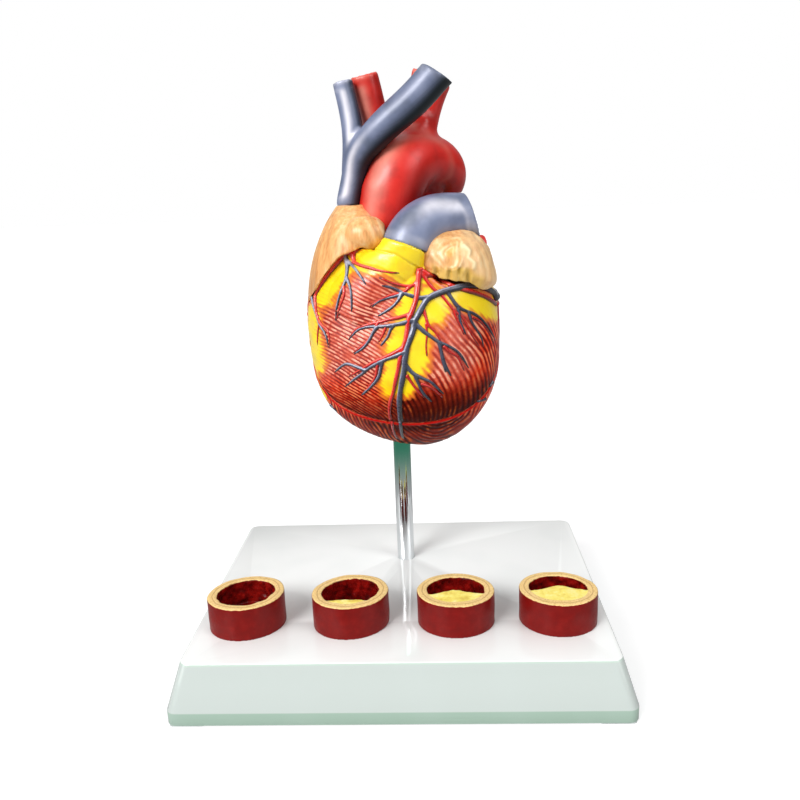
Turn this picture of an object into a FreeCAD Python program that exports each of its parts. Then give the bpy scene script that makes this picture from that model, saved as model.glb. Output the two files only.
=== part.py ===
import FreeCAD, Part
import math
import os
from FreeCAD import Matrix, Placement, Rotation, Vector

# A classroom heart model: a two-part life-size heart on a steel rod, over a white base that also
# carries four cross-sections of an artery. Millimetres, +Z up, the front towards -Y. The origin is
# the middle of the footprint, on the surface that the feet stand on.

# ---- base ----
DECK_WIDTH = 200.0          # flat top of the base, along X
DECK_DEPTH = 156.0          # flat top of the base, along Y
SKIRT_RUN = 6.4             # how far the sloped skirt spreads outwards on each side
SKIRT_HEIGHT = 21.0         # height of the sloped skirt
LIP_HEIGHT = 6.0            # upright lip below the skirt
SHELL_WALL = 2.6            # wall of the moulded base
CORNER_RADIUS = 5.0         # upright corners of the base
EDGE_RADIUS = 0.8           # rounding of the deck's edge
FOOT_SIZE = 17.0            # square rubber foot
FOOT_PROUD = 1.1            # how far a foot stands below the lip
FOOT_POST_SIDE = 11.0       # square post that carries each foot
FOOT_INSET = 1.0            # from the lip's outside to the foot

# ---- rod and its fixing ----
ROD_Y = 30.0                # the rod stands behind the middle of the base
ROD_RADIUS = 4.75
ROD_WALL = 1.0
ROD_SHOWN = 68.5            # from the deck to the heart's lowest point
ROD_IN_HEART = 40.0         # how far the rod reaches up into the heart
ROD_CLEARANCE = 0.06        # radial, rod in its bush
ROD_BOSS_RADIUS = 10.0      # boss under the deck that the rod stands in
ROD_BOSS_DEPTH = 16.0
ROD_SEAT_DEPTH = 12.0       # how far the rod goes down into the base
ROD_SEAT_CLEARANCE = 0.1
CAP_HEAD = 1.6              # head of the rod's end cap
CAP_PLUG = 8.0
ROD_SCREW_RADIUS = 2.5
ROD_SCREW_LENGTH = 15.0
ROD_SCREW_HEAD_RADIUS = 4.6
ROD_SCREW_HEAD = 2.8
NUT_INSERT_LENGTH = 9.0     # threaded insert in the rod's foot
WASHER_RADIUS = 8.0
WASHER_THICKNESS = 1.2

# ---- bush in the heart ----
BUSH_WALL = 1.5
BUSH_TOP = 2.4
BUSH_CLEARANCE = 0.06       # radial, heart on its bush

# ---- artery sections ----
ARTERY_HEIGHT = 16.4
ARTERY_LONG_RADIUS = 18.7
ARTERY_SHORT_RADIUS = 17.2
ARTERY_WALL = 4.7           # healthy wall, all round
ARTERY_FLOOR = 4.0
ARTERY_ROW_Y = -41.4
ARTERY_X = (-75.6, -24.4, 26.8, 76.0)
ARTERY_TURNS = (24.0, 22.0, 0.0, -14.0)         # degrees about Z
PLAQUE_RISE = (0.0, 0.17, 0.47, 0.60)           # how much of the bore the plaque fills
ARTERY_SCREW_RADIUS = 1.6
ARTERY_SCREW_LENGTH = 6.0
ARTERY_SCREW_HEAD_RADIUS = 3.2
ARTERY_SCREW_HEAD = 2.0

# ---- heart, overall ----
HEART_WIDTH = 101.0         # ventricles, along X
HEART_DEPTH = 88.0          # ventricles, along Y
HEART_HEIGHT = 110.0        # ventricles, apex to crown
SEAM_GAP = 0.3              # between the front wall and everything behind or above it
AORTA_CLEARANCE = 0.8       # round the aorta, in the front wall
MYOCARDIUM_RIGHT = 6.5      # wall of the right ventricle
MAGNET_RADIUS = 3.0
MAGNET_THICKNESS = 2.0
MAGNET_CLEARANCE = 0.05
PEG_RADIUS = 2.0
PEG_LENGTH = 7.0            # how far a peg stands out of the seam
PEG_ROOT = 6.0              # how far a peg is set into the back
PEG_CLEARANCE = 0.3

# ---- heart, inside ----
AV_PLANE = 84.0             # the ventricles' flat top, where the atria sit, above the apex
CEILING = 76.0              # the chambers' ceiling, above the apex
LEFT_CHAMBER = ((21, 1, 47), (20, 26, 35))         # middle and radii
SEPTUM = ((23, -2, 44), (36, 52, 62))               # what the left ventricle takes from the right one
SOCKET_COLUMN_RADIUS = 10.0
LEFT_ATRIUM_ROOM = ((17, 15, 97), (19, 19, 13))
RIGHT_ATRIUM_ROOM = ((-25, 4, 100), (13, 20, 18))
RIGHT_AURICLE = ((-12.8, -22, 115.2), (11, 10, 9))
LEFT_AURICLE = ((30, -16, 97.6), (19.8, 21, 19.4))
ATRIAL_WALL_X = -8.0        # the flat where the atria meet
MITRAL = (17, 12)
TRICUSPID = (-22, 8)
AORTIC = (-1, 6)
PEGS = ((30, 80), (-30, 80), (-4, 50))              # x and height above the apex
MAGNETS = ((47, 62), (-4, 64))

# ---- seam between the front wall and the back ----
SEAM_Y = -8.0               # upright part of the seam, from the rod
SEAM_KNEE = 45.5            # height at which the seam starts to lean forwards
SEAM_TOE = (-33.0, 21.0)    # a point on the leaning part: y and height

# ---- vessels ----
LUMEN_WALL = 1.9            # wall shown at a vessel's cut end
LUMEN_DEPTH = 11.0
LUNG_ARTERY_END = (40.2, -9, 121)   # middle of the left pulmonary artery's cut end
LUNG_ARTERY_END_TILT = Vector(0.93, 0.12, 0.32)
ARCH_WALL = 2.4             # wall and depth of the bore at the aorta's far end
ARCH_DEPTH = 7.0
NECK_END = (24.7, -8.5, 189.6)        # middle of the big neck vein's cut end
NECK_END_TILT = Vector(0.55, 0, 0.84)

# ---- valves, muscles and strings ----
MITRAL_RADIUS = 9.5
TRICUSPID_RADIUS = 11.0
AORTIC_BORE = 8.5
PULMONARY_BORE = 9.0
LEAFLET = 1.2
FLAP_DROP = 13.0
VALVE_DEPTH = 6.5           # how far the pulmonary valve sits below the collar's top face
CHORD_RADIUS = 0.6
STRINGS_PER_MUSCLE = 4
STRING_SPREAD = 0.42        # from one string to the next, about the valve's middle, radians
RING_POINTS = 12            # points on each ring of a vessel
LEFT_MUSCLES = ((((36, 10, 24), 6.5), ((31, 9, 36), 5.0), ((26, 10, 47), 3.2)),
                (((16, 24, 26), 6.5), ((15, 19, 36), 5.0), ((14, 15.5, 47), 3.2)))
RIGHT_MUSCLES = ((((-36, -2, 24), 6.0), ((-32, 0, 36), 4.6), ((-28, 2, 48), 3.0)),
                 (((-24, 28, 30), 6.0), ((-23, 22, 38), 4.6), ((-22, 17, 49), 3.0)))

FOOTPRINT_WIDTH = DECK_WIDTH + 2 * SKIRT_RUN
FOOTPRINT_DEPTH = DECK_DEPTH + 2 * SKIRT_RUN
DECK_Z = FOOT_PROUD + LIP_HEIGHT + SKIRT_HEIGHT
APEX_Z = DECK_Z + ROD_SHOWN
NOMINAL_WIDTH, NOMINAL_DEPTH, NOMINAL_HEIGHT = 101.0, 88.0, 110.0
X, Y, Z = Vector(1, 0, 0), Vector(0, 1, 0), Vector(0, 0, 1)
FAR = 400.0


# ---------------------------------------------------------------- helpers
def at(x, y, z):
    """A place on the heart: x and y from the rod, z up from the apex, at the ventricles' nominal size."""
    return Vector(x * HEART_WIDTH / NOMINAL_WIDTH, ROD_Y + y * HEART_DEPTH / NOMINAL_DEPTH,
                  APEX_Z + z * HEART_HEIGHT / NOMINAL_HEIGHT)


def block(low, high):
    return Part.makeBox(high[0] - low[0], high[1] - low[1], high[2] - low[2], Vector(*low))


def rod(radius, start, direction, length):
    return Part.makeCylinder(radius, length, start, direction)


def ellipsoid(centre, radii):
    """An egg with its three radii along X, Y and Z, given at the heart's nominal size."""
    scale = Matrix()
    scale.scale(radii[0] * HEART_WIDTH / NOMINAL_WIDTH, radii[1] * HEART_DEPTH / NOMINAL_DEPTH,
                radii[2] * HEART_HEIGHT / NOMINAL_HEIGHT)
    egg = Part.makeSphere(1.0).transformGeometry(scale)
    egg.translate(at(*centre))
    return egg


def closed_curve(points):
    curve = Part.BSplineCurve()
    curve.interpolate(Points=points, PeriodicFlag=True)
    return Part.Wire([curve.toShape()])


def oval(z, left, right, front, back, corners=12, inset=0.0):
    """A closed section of the ventricles at height z: four quarter ellipses round the section's middle."""
    across, along = (left + right) / 2, (front + back) / 2
    middle = across + 0.12 * (right - left) * 0.5
    points = []
    for i in range(corners):
        turn = 2 * math.pi * i / corners
        wide = (right - middle if math.cos(turn) > 0 else middle - left) - inset
        deep = (back - along if math.sin(turn) > 0 else along - front) - inset
        points.append(at(middle + wide * math.cos(turn), along + deep * math.sin(turn), z))
    return closed_curve(points)


def loft(wires):
    return Part.makeLoft(wires, True, False)


def directions(points):
    """The direction of a smooth path at each of its points."""
    found = []
    for i in range(len(points)):
        before, after = points[max(i - 1, 0)], points[min(i + 1, len(points) - 1)]
        found.append((after - before).normalize())
    return found


def vessel(stations):
    """A tapering tube through stations of (place, radius), its rings' starting points carried along."""
    points = [at(*place) for place, _ in stations]
    ways = directions(points)
    side = ways[0].cross(Vector(0.3, 1.0, 0.2)).normalize()
    wires = []
    for (_, radius), point, way in zip(stations, points, ways):
        side = (side - way * side.dot(way)).normalize()
        other = way.cross(side)
        turns = [2 * math.pi * i / RING_POINTS for i in range(RING_POINTS)]
        ring = [point + (side * math.cos(t) + other * math.sin(t)) * radius for t in turns]
        wires.append(closed_curve(ring))
    return loft(wires)


def lumen(stations, end=-1, wall=LUMEN_WALL, depth=LUMEN_DEPTH):
    """The open bore at one end of a vessel."""
    points = [at(*place) for place, _ in stations]
    way = directions(points)[end] * (1 if end == -1 else -1)
    return rod(stations[end][1] - wall, points[end] - way * depth, way, depth + 1.0)


def fuse(shapes):
    joined = shapes[0]
    for shape in shapes[1:]:
        joined = joined.fuse(shape)
    return joined.removeSplitter()


def cut(shape, tools):
    for tool in tools:
        shape = shape.cut(tool)
    return shape


def largest(shape):
    return max(shape.Solids, key=lambda solid: solid.Volume)


def save(name, shape):
    solids = shape.Solids
    made = solids[0] if len(solids) == 1 else Part.makeCompound(solids)
    made.exportStep(os.path.join("parts", name + ".step"))


# ---------------------------------------------------------------- base
def frustum(shrink, low, high):
    """The base's outer form, drawn in by shrink on every side: a lip, a sloped skirt and a deck."""
    def rectangle(width, depth, z):
        w, d, r = width / 2 - shrink, depth / 2 - shrink, max(CORNER_RADIUS - shrink, 1.0)
        plate = Part.makePlane(2 * w, 2 * d, Vector(-w, -d, z))
        prism = plate.extrude(Z)
        upright = [e for e in prism.Edges if abs(e.tangentAt(0).z) > 0.9]
        floor = [f for f in prism.makeFillet(r, upright).Faces if f.normalAt(0, 0).z < -0.9]
        return floor[0].OuterWire
    footprint = Part.Face(rectangle(FOOTPRINT_WIDTH, FOOTPRINT_DEPTH, low))
    lip = footprint.extrude(Z * (FOOT_PROUD + LIP_HEIGHT - low))
    skirt = Part.makeLoft([rectangle(FOOTPRINT_WIDTH, FOOTPRINT_DEPTH, FOOT_PROUD + LIP_HEIGHT),
                           rectangle(DECK_WIDTH, DECK_DEPTH, high)], True, True)
    return lip.fuse(skirt).removeSplitter()


def foot_places():
    reach_x = FOOTPRINT_WIDTH / 2 - FOOT_INSET - FOOT_SIZE / 2
    reach_y = FOOTPRINT_DEPTH / 2 - FOOT_INSET - FOOT_SIZE / 2
    return [(sx * reach_x, sy * reach_y) for sx in (-1, 1) for sy in (-1, 1)]


def artery_places():
    return [Vector(x, ARTERY_ROW_Y, DECK_Z) for x in ARTERY_X]


def make_base_shell():
    outer = frustum(0.0, FOOT_PROUD, DECK_Z)
    deck_edges = [e for e in outer.Edges if min(v.Z for v in e.Vertexes) > DECK_Z - 0.01]
    outer = outer.makeFillet(EDGE_RADIUS, deck_edges)
    hollow = frustum(SHELL_WALL, FOOT_PROUD - 1, DECK_Z - SHELL_WALL)
    shell = outer.cut(hollow)
    ceiling = DECK_Z - SHELL_WALL
    middle = Vector(0, ROD_Y, 0)
    boss = rod(ROD_BOSS_RADIUS, middle + Z * (DECK_Z - ROD_BOSS_DEPTH), Z, ROD_BOSS_DEPTH - SHELL_WALL)
    posts = [block((x - FOOT_POST_SIDE / 2, y - FOOT_POST_SIDE / 2, FOOT_PROUD),
                   (x + FOOT_POST_SIDE / 2, y + FOOT_POST_SIDE / 2, ceiling)) for x, y in foot_places()]
    rib_half = FOOTPRINT_WIDTH / 2 - SHELL_WALL - SKIRT_RUN
    ribs = [block((side * rib_half if side < 0 else ROD_BOSS_RADIUS - 1, ROD_Y - 1, ceiling - 8),
                  (-ROD_BOSS_RADIUS + 1 if side < 0 else rib_half, ROD_Y + 1, ceiling)) for side in (-1, 1)]
    posts = [post.common(outer) for post in posts]
    shell = fuse([shell, boss, *posts, *ribs])
    seat_floor = middle + Z * (DECK_Z - ROD_SEAT_DEPTH)
    seat = rod(ROD_RADIUS + ROD_SEAT_CLEARANCE, seat_floor, Z, ROD_SEAT_DEPTH + 1)
    screw_way = rod(ROD_SCREW_RADIUS + 0.3, middle, Z, DECK_Z)
    holes = [rod(ARTERY_SCREW_RADIUS + 0.2, place - Z * (SHELL_WALL + 1), Z, SHELL_WALL + 2)
             for place in artery_places()]
    return cut(shell, [seat, screw_way, *holes])


def make_feet():
    half = FOOT_SIZE / 2
    feet = []
    for x, y in foot_places():
        pad = block((x - half, y - half, 0), (x + half, y + half, FOOT_PROUD))
        feet.append(pad.makeFillet(2.0, [e for e in pad.Edges if abs(e.tangentAt(0).z) > 0.9]))
    return Part.makeCompound(feet)


# ---------------------------------------------------------------- rod
ROD_BOTTOM = DECK_Z - ROD_SEAT_DEPTH
ROD_TOP = APEX_Z + ROD_IN_HEART


def make_rod():
    foot = Vector(0, ROD_Y, ROD_BOTTOM)
    length = ROD_TOP - CAP_HEAD - ROD_BOTTOM
    return rod(ROD_RADIUS, foot, Z, length).cut(rod(ROD_RADIUS - ROD_WALL, foot - Z, Z, length + 2))


def make_rod_cap():
    top = Vector(0, ROD_Y, ROD_TOP - CAP_HEAD)
    head = rod(ROD_RADIUS, top, Z, CAP_HEAD)
    rim = [e for e in head.Edges if e.CenterOfMass.z > ROD_TOP - 0.01]
    plug = rod(ROD_RADIUS - ROD_WALL, top - Z * CAP_PLUG, Z, CAP_PLUG)
    return head.makeFillet(CAP_HEAD * 0.4, rim).fuse(plug).removeSplitter()


def make_rod_insert():
    foot = Vector(0, ROD_Y, ROD_BOTTOM)
    return rod(ROD_RADIUS - ROD_WALL, foot, Z, NUT_INSERT_LENGTH).cut(
        rod(ROD_SCREW_RADIUS, foot - Z, Z, NUT_INSERT_LENGTH + 2))


def make_rod_washer():
    under = Vector(0, ROD_Y, DECK_Z - ROD_BOSS_DEPTH - WASHER_THICKNESS)
    return rod(WASHER_RADIUS, under, Z, WASHER_THICKNESS).cut(
        rod(ROD_SCREW_RADIUS + 0.3, under - Z, Z, WASHER_THICKNESS + 2))


def make_rod_screw():
    seat = DECK_Z - ROD_BOSS_DEPTH - WASHER_THICKNESS
    head = rod(ROD_SCREW_HEAD_RADIUS, Vector(0, ROD_Y, seat - ROD_SCREW_HEAD), Z, ROD_SCREW_HEAD)
    slot = block((-ROD_SCREW_HEAD_RADIUS, ROD_Y - 0.6, seat - ROD_SCREW_HEAD - 1),
                 (ROD_SCREW_HEAD_RADIUS, ROD_Y + 0.6, seat - ROD_SCREW_HEAD + 1.2))
    shank_top = min(seat + ROD_SCREW_LENGTH, ROD_BOTTOM + NUT_INSERT_LENGTH)
    shank = rod(ROD_SCREW_RADIUS, Vector(0, ROD_Y, seat - 0.5), Z, shank_top - seat + 0.5)
    return head.cut(slot).fuse(shank).removeSplitter()


def make_socket_bush():
    """A closed sleeve over the rod's top. It lifts off the rod, and the heart turns on it."""
    bore = ROD_RADIUS + ROD_CLEARANCE
    foot = Vector(0, ROD_Y, APEX_Z + 3.0)
    length = ROD_TOP - foot.z + BUSH_TOP
    return rod(bore + BUSH_WALL, foot, Z, length).cut(rod(bore, foot - Z, Z, ROD_TOP - foot.z + 1))


def bush_socket():
    """The hole in the heart that the bush fits, with the rod's way out below it."""
    radius = ROD_RADIUS + ROD_CLEARANCE + BUSH_WALL + BUSH_CLEARANCE
    foot = Vector(0, ROD_Y, APEX_Z + 3.0)
    top = ROD_TOP + BUSH_TOP
    entry = rod(ROD_RADIUS + 0.6, Vector(0, ROD_Y, APEX_Z - 10), Z, 14.0)
    return rod(radius, foot, Z, top - foot.z).fuse(entry)


# ---------------------------------------------------------------- artery sections
def artery_oval(grow, z, place, turn):
    ring = Part.Ellipse(Vector(0, 0, 0), ARTERY_LONG_RADIUS + grow, ARTERY_SHORT_RADIUS + grow).toShape()
    ring.rotate(Vector(0, 0, 0), Z, turn)
    ring.translate(Vector(place.x, place.y, z))
    return Part.Wire([ring])


def plaque_line(place, turn, rise):
    """The part of the bore that a plaque leaves open: a crescent behind a rounded ridge at the front."""
    deep = ARTERY_SHORT_RADIUS - ARTERY_WALL
    wide = ARTERY_LONG_RADIUS - ARTERY_WALL
    shelf = -deep + 2 * deep * rise * 0.72
    crest = -deep + 2 * deep * rise
    shoulder = wide * 0.5
    slope = shelf + 0.35 * (crest - shelf)
    path = [Vector(-wide * 1.6, shelf, 0), Vector(-wide * 0.8, shelf, 0), Vector(-shoulder, slope, 0),
            Vector(0, crest, 0),
            Vector(shoulder, slope, 0), Vector(wide * 0.8, shelf, 0), Vector(wide * 1.6, shelf, 0)]
    ridge = Part.BSplineCurve()
    ridge.interpolate(path)
    back = [Vector(wide * 1.6, deep * 2, 0), Vector(-wide * 1.6, deep * 2, 0)]
    edges = [ridge.toShape(), Part.makeLine(path[-1], back[0]), Part.makeLine(back[0], back[1]),
             Part.makeLine(back[1], path[0])]
    area = Part.Face(Part.Wire(edges))
    area.translate(Vector(place.x, place.y, DECK_Z + ARTERY_FLOOR))
    return area.extrude(Z * ARTERY_HEIGHT)


def make_artery(index):
    place, turn = artery_places()[index], ARTERY_TURNS[index]
    body = Part.Face(artery_oval(0, DECK_Z, place, turn)).extrude(Z * ARTERY_HEIGHT)
    rim = DECK_Z + ARTERY_HEIGHT - 0.01
    body = body.makeFillet(0.6, [edge for edge in body.Edges if edge.CenterOfMass.z > rim])
    inside = Part.Face(artery_oval(-ARTERY_WALL, DECK_Z + ARTERY_FLOOR, place, turn))
    bore = inside.extrude(Z * ARTERY_HEIGHT)
    if PLAQUE_RISE[index] > 0:
        bore = bore.common(plaque_line(place, turn, PLAQUE_RISE[index]))
    pilot = rod(ARTERY_SCREW_RADIUS, place - Z, Z, ARTERY_SCREW_LENGTH - SHELL_WALL + 1)
    return cut(body, [bore, pilot])


def make_artery_screws():
    screws = []
    for place in artery_places():
        seat = place - Z * SHELL_WALL
        head = rod(ARTERY_SCREW_HEAD_RADIUS, seat - Z * ARTERY_SCREW_HEAD, Z, ARTERY_SCREW_HEAD)
        slot = block((place.x - 5, place.y - 0.4, seat.z - ARTERY_SCREW_HEAD - 1),
                     (place.x + 5, place.y + 0.4, seat.z - ARTERY_SCREW_HEAD + 0.8))
        shank = rod(ARTERY_SCREW_RADIUS, seat - Z * 0.5, Z, ARTERY_SCREW_LENGTH + 0.5)
        screws.append(head.cut(slot).fuse(shank).removeSplitter())
    return Part.makeCompound(screws)


# ---------------------------------------------------------------- heart: outer forms
# Sections: height above the apex, then the left, right, front and back limits, from the rod.
VENTRICLE_SECTIONS = (
    (2.2, 5, 18, -10, -1), (4.0, -4, 24, -15.5, 4), (7.5, -14.5, 31, -21, 11),
    (12.5, -24.5, 37.5, -26.5, 18), (18.5, -32.5, 43, -31.5, 24), (24.5, -37.8, 47, -36, 29),
    (31.5, -41.7, 50.3, -39.8, 33.3), (41.5, -44.5, 52.8, -43, 38), (54.5, -46.5, 53.6, -44.5, 41.5),
    (68.5, -47.6, 53.5, -43, 42.5), (81.5, -47, 52.4, -40, 41.5), (91.5, -44.5, 50, -37, 38.5),
    (101, -38, 42, -34, 32), (110, -28, 28, -30, 22),
)
RIGHT_ATRIUM_SECTIONS = (
    (74, -47.6, -2, -32, 40), (84, -46.6, -2, -33, 39), (94.6, -44.8, -2, -32, 36),
    (107.5, -41.2, -3, -29.5, 31), (118.3, -36, -5, -26, 23), (125, -31.8, -9.5, -18, 14.5),
    (130, -28.5, -13.5, -9, 8),
)
LEFT_ATRIUM_SECTIONS = (
    (AV_PLANE, -14, 49, -14, 43.5), (95, -14, 48, -14, 43), (106, -12, 43.5, -11, 40),
    (114, -8, 36, -7, 34), (119, 0, 28, 2, 27),
)
CONUS = (((-12, -16, 78), 24), ((-7, -20, 90), 20), ((2, -24, 101), 15.5), ((8.5, -25.8, 110.5), 13.2),
         ((12.5, -25.2, 118), 13.0))
COLLAR = (7.0, -25.5, 108.5)        # middle of the collar's top face
COLLAR_TILT = Vector(0.34, 0.12, 0.93)
# Front view of the front wall's upper border, left to right: x and height above the apex.
BORDER_LEFT = ((-70, 76), (-47.4, 77.7), (-42.5, 84.4), (-33.9, 96), (-26.5, 104.2),
               (-20, 107), (-14, 108.8), (-8, 107.6), (-2.8, 113.5))
BORDER_RIGHT = ((16, 96.7), (23, 91), (31, 89.3), (40, 88.4), (52, 84.5), (70, 80))

# Vessel stations: a place and the radius there.
AORTA = (((-0.8, 6.2, 78), 11.3), ((-2, 5, 97), 12.6), ((-2.8, 1.5, 112), 13.6),
         ((-2, 0, 124), 14.4), ((0, 0.5, 134), 15.0), ((4, 3.5, 143.8), 15.9),
         ((9.8, 7.2, 149), 15.0), ((17, 12.5, 150.6), 13.4), ((24.3, 18, 148), 12.2),
         ((28.4, 22.6, 142.2), 10.5), ((27, 25.5, 135.5), 9.4), ((24.2, 27, 129), 8.4))
ARCH_END = (25.9, 26, 133.2)        # middle of the arch's cut end, which is level
ARCH_END_CLEAR = (15.2, 5)          # below the cut end the arch is taken away beyond these x and y
ARCH_FOLD = ((14, 13.5, 136), (12, 8.5, 10))        # the fold under the arch
NECK_RIGHT = (((0, 9, 150), 6.7), ((-4.5, 9.5, 161), 6.6), ((-8, 9, 174), 6.6),
              ((-12.2, 8, 192.5), 6.7))
NECK_MIDDLE = (((9, 11, 152), 5.2), ((11, 12, 165), 4.8), ((13.5, 11.5, 180), 4.5),
               ((16.3, 11, 194.5), 4.3))
NECK_LEFT = (((13, 15, 150), 9.0), ((15.5, 15.5, 160), 7.4), ((19.4, 16, 171), 5.6),
             ((27.2, 16, 188.5), 4.6))
CAVA_FOOT = 129.0           # where the superior vena cava stands on the right atrium, above the apex
CAVA = (((-22.5, 0.2, 126), 5.9), ((-21.2, -0.4, 137), 6.0), ((-18.6, -1.4, 146), 6.3),
        ((-15.6, -3.6, 153), 6.8), ((-10.6, -6, 159), 7.3), ((-3, -8, 166), 7.8),
        ((8, -8.5, 174.6), 8.2), ((17, -8.5, 182.4), 8.3), ((29.2, -8.5, 193.4), 8.3))
NECK_VEIN = (((-19.8, -0.8, 145), 5.6), ((-18.6, -0.8, 156), 5.8), ((-19, -0.4, 168), 5.4),
             ((-20.6, 0, 178), 5.1), ((-22.7, 0, 189), 5.0))
LUNG_ARTERY = (((4, -25, 98), 12.0), ((7, -25.4, 108), 12.2), ((11, -23.2, 115), 12.3),
               ((17, -19, 119.6), 12.2), ((27.5, -13, 121.6), 12.0), ((45, -7.5, 120.4), 11.7))
LUNG_ARTERY_RIGHT = (((29, -11, 122), 8.5), ((22.5, 6, 122.5), 7.8), ((10, 17, 122.5), 7.5),
                     ((-8, 22, 121), 7.5), ((-27, 23, 119.5), 7.3))
LOWER_CAVA = (((-22, 26, 93), 8.0), ((-24.5, 38, 89.5), 8.0), ((-26, 49, 82), 8.0))
LUNG_VEINS_LEFT = ((((28, 24, 106), 5.2), ((38, 28, 105), 5.2), ((48.3, 32, 105), 5.2)),
                   (((26, 32, 95), 5.2), ((36, 38, 92), 5.2), ((46, 45, 89.5), 5.2)))
LUNG_VEINS_RIGHT = ((((4, 30, 107), 5.2), ((-6, 40, 107), 5.2), ((-17, 48, 108), 5.2)),
                    (((6, 32, 94), 5.2), ((-1.5, 42, 92), 5.2), ((-7.5, 48.5, 90), 5.2)))


def ventricles(inset=0.0):
    return loft([oval(*section, inset=inset) for section in VENTRICLE_SECTIONS])


def prism(outline, direction):
    """A solid from an outline of places, swept along direction."""
    return Part.Face(Part.makePolygon(outline + outline[:1])).extrude(direction)


def above(height):
    return block((-FAR, -FAR, at(0, 0, height).z), (FAR, FAR, at(0, 0, height).z + FAR))


def seam_y(height):
    if height >= SEAM_KNEE:
        return SEAM_Y
    return SEAM_Y + (SEAM_TOE[0] - SEAM_Y) * (SEAM_KNEE - height) / (SEAM_KNEE - SEAM_TOE[1])


def behind_seam():
    """Everything below the atria and behind the upright part of the seam."""
    return block((-FAR, at(0, SEAM_Y, 0).y, -FAR), (FAR, FAR, at(0, 0, AV_PLANE).z))


def beyond_collar(gap=0.0):
    """Everything past the collar's top face, along the pulmonary artery."""
    middle = at(*COLLAR) + COLLAR_TILT * gap
    face = Part.Face(Part.Wire([Part.makeCircle(60, middle, COLLAR_TILT)]))
    return face.extrude(COLLAR_TILT * 120)


def grown_prism(outline, gap, direction):
    """A prism whose sides all stand a gap further out than the outline."""
    face = Part.Face(Part.makePolygon(outline + outline[:1]))
    if gap > 0:
        face = face.makeOffset2D(gap, 2)
    return face.extrude(direction)


def wall_border(gap):
    """Everything below the front wall's upper border, seen from the front."""
    column = [(BORDER_LEFT[-1][0], 125), (BORDER_RIGHT[0][0], 125)]
    outline = [(-70, -30), *BORDER_LEFT, *column, *BORDER_RIGHT, (70, -30)]
    return grown_prism([at(x, -120, z) for x, z in outline], gap, Y * FAR)


def in_front_of_seam(gap):
    """Everything in front of the seam: upright above the knee, leaning forwards below it."""
    low = -30.0
    outline = [(-150, low), (seam_y(low), low), (SEAM_Y, SEAM_KNEE), (SEAM_Y, 160), (-150, 160)]
    return grown_prism([at(-80, y, z) for y, z in outline], gap, X * FAR)


def front_zone(gap=0.0):
    return wall_border(gap).common(in_front_of_seam(gap))


# ---------------------------------------------------------------- heart: chambers and bores
def chambers():
    """Both ventricles' hollows, with a moulded column left standing round the rod's socket."""
    column = rod(SOCKET_COLUMN_RADIUS, at(0, 0, -10), Z, at(0, 0, ROD_IN_HEART + 7).z - at(0, 0, -10).z)
    left = ellipsoid(*LEFT_CHAMBER).cut(above(CEILING)).cut(column)
    septum = ellipsoid(*SEPTUM)
    right = largest(ventricles(inset=MYOCARDIUM_RIGHT).cut(septum)).cut(above(CEILING)).cut(column)
    return [left, right]


def valve_bores():
    floor, rise = at(0, 0, CEILING - 6), AV_PLANE - CEILING + 8
    height = rise * HEART_HEIGHT / NOMINAL_HEIGHT
    bores = ((MITRAL, MITRAL_RADIUS), (TRICUSPID, TRICUSPID_RADIUS), (AORTIC, AORTIC_BORE))
    return [rod(radius, Vector(at(*place, 0).x, at(*place, 0).y, floor.z), Z, height)
            for place, radius in bores]


def outflow():
    """The way from the right ventricle through the conus to the collar."""
    return vessel((((-16, -20, 62), PULMONARY_BORE + 2), ((-9, -21, 82), PULMONARY_BORE + 1),
                   ((1, -24, 98), PULMONARY_BORE), ((4.5, -25.2, 103.5), PULMONARY_BORE - 0.5)))


def pegs(radius, root, reach):
    shapes = []
    for x, height in PEGS:
        foot = at(x, seam_y(height), height) + Y * SEAM_GAP
        shapes.append(rod(radius, foot + Y * root, -Y, root + reach))
    return shapes


def magnets(front, clearance=0.0, proud=0.0):
    """Discs let into both faces of the seam."""
    shapes = []
    for x, height in MAGNETS:
        face = at(x, seam_y(height), height) + Y * (-proud if not front else -MAGNET_THICKNESS)
        if not front:
            face = face + Y * SEAM_GAP
        shapes.append(rod(MAGNET_RADIUS + clearance, face, Y, MAGNET_THICKNESS + proud))
    return shapes


# ---------------------------------------------------------------- heart: the two halves
def make_back(whole, rooms):
    back = whole.cut(above(AV_PLANE)).cut(front_zone(SEAM_GAP))
    back = cut(back, rooms + valve_bores() + [bush_socket()])
    return largest(cut(back, pegs(PEG_RADIUS, PEG_ROOT, 1.0) + magnets(False, MAGNET_CLEARANCE, 1.0)))


def make_front(whole, rooms, aorta_room):
    front = whole.fuse(vessel(CONUS)).common(front_zone()).cut(beyond_collar())
    mouth = rod(PULMONARY_BORE, at(*COLLAR) - COLLAR_TILT * VALVE_DEPTH, COLLAR_TILT, VALVE_DEPTH + 5)
    front = cut(front, rooms + [outflow(), mouth, aorta_room])
    return largest(cut(front, pegs(PEG_RADIUS + PEG_CLEARANCE, 1.0, PEG_LENGTH + 0.5)
                       + magnets(True, MAGNET_CLEARANCE, 1.0)))


# ---------------------------------------------------------------- heart: vessels
def past(middle, tilt, radius, length):
    """A short cylinder that takes away a vessel beyond its cut end."""
    return rod(radius, at(*middle), tilt, length)


def aorta_form():
    """The aorta and its three neck arteries, before their bores."""
    corner = at(*ARCH_END_CLEAR, AV_PLANE)
    below_end = block(tuple(corner), (FAR, FAR, at(*ARCH_END).z))
    trunk = vessel(AORTA).common(above(AV_PLANE)).cut(below_end)
    branches = [vessel(branch) for branch in (NECK_RIGHT, NECK_MIDDLE, NECK_LEFT)]
    return largest(fuse([trunk, ellipsoid(*ARCH_FOLD), *branches]))


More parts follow.
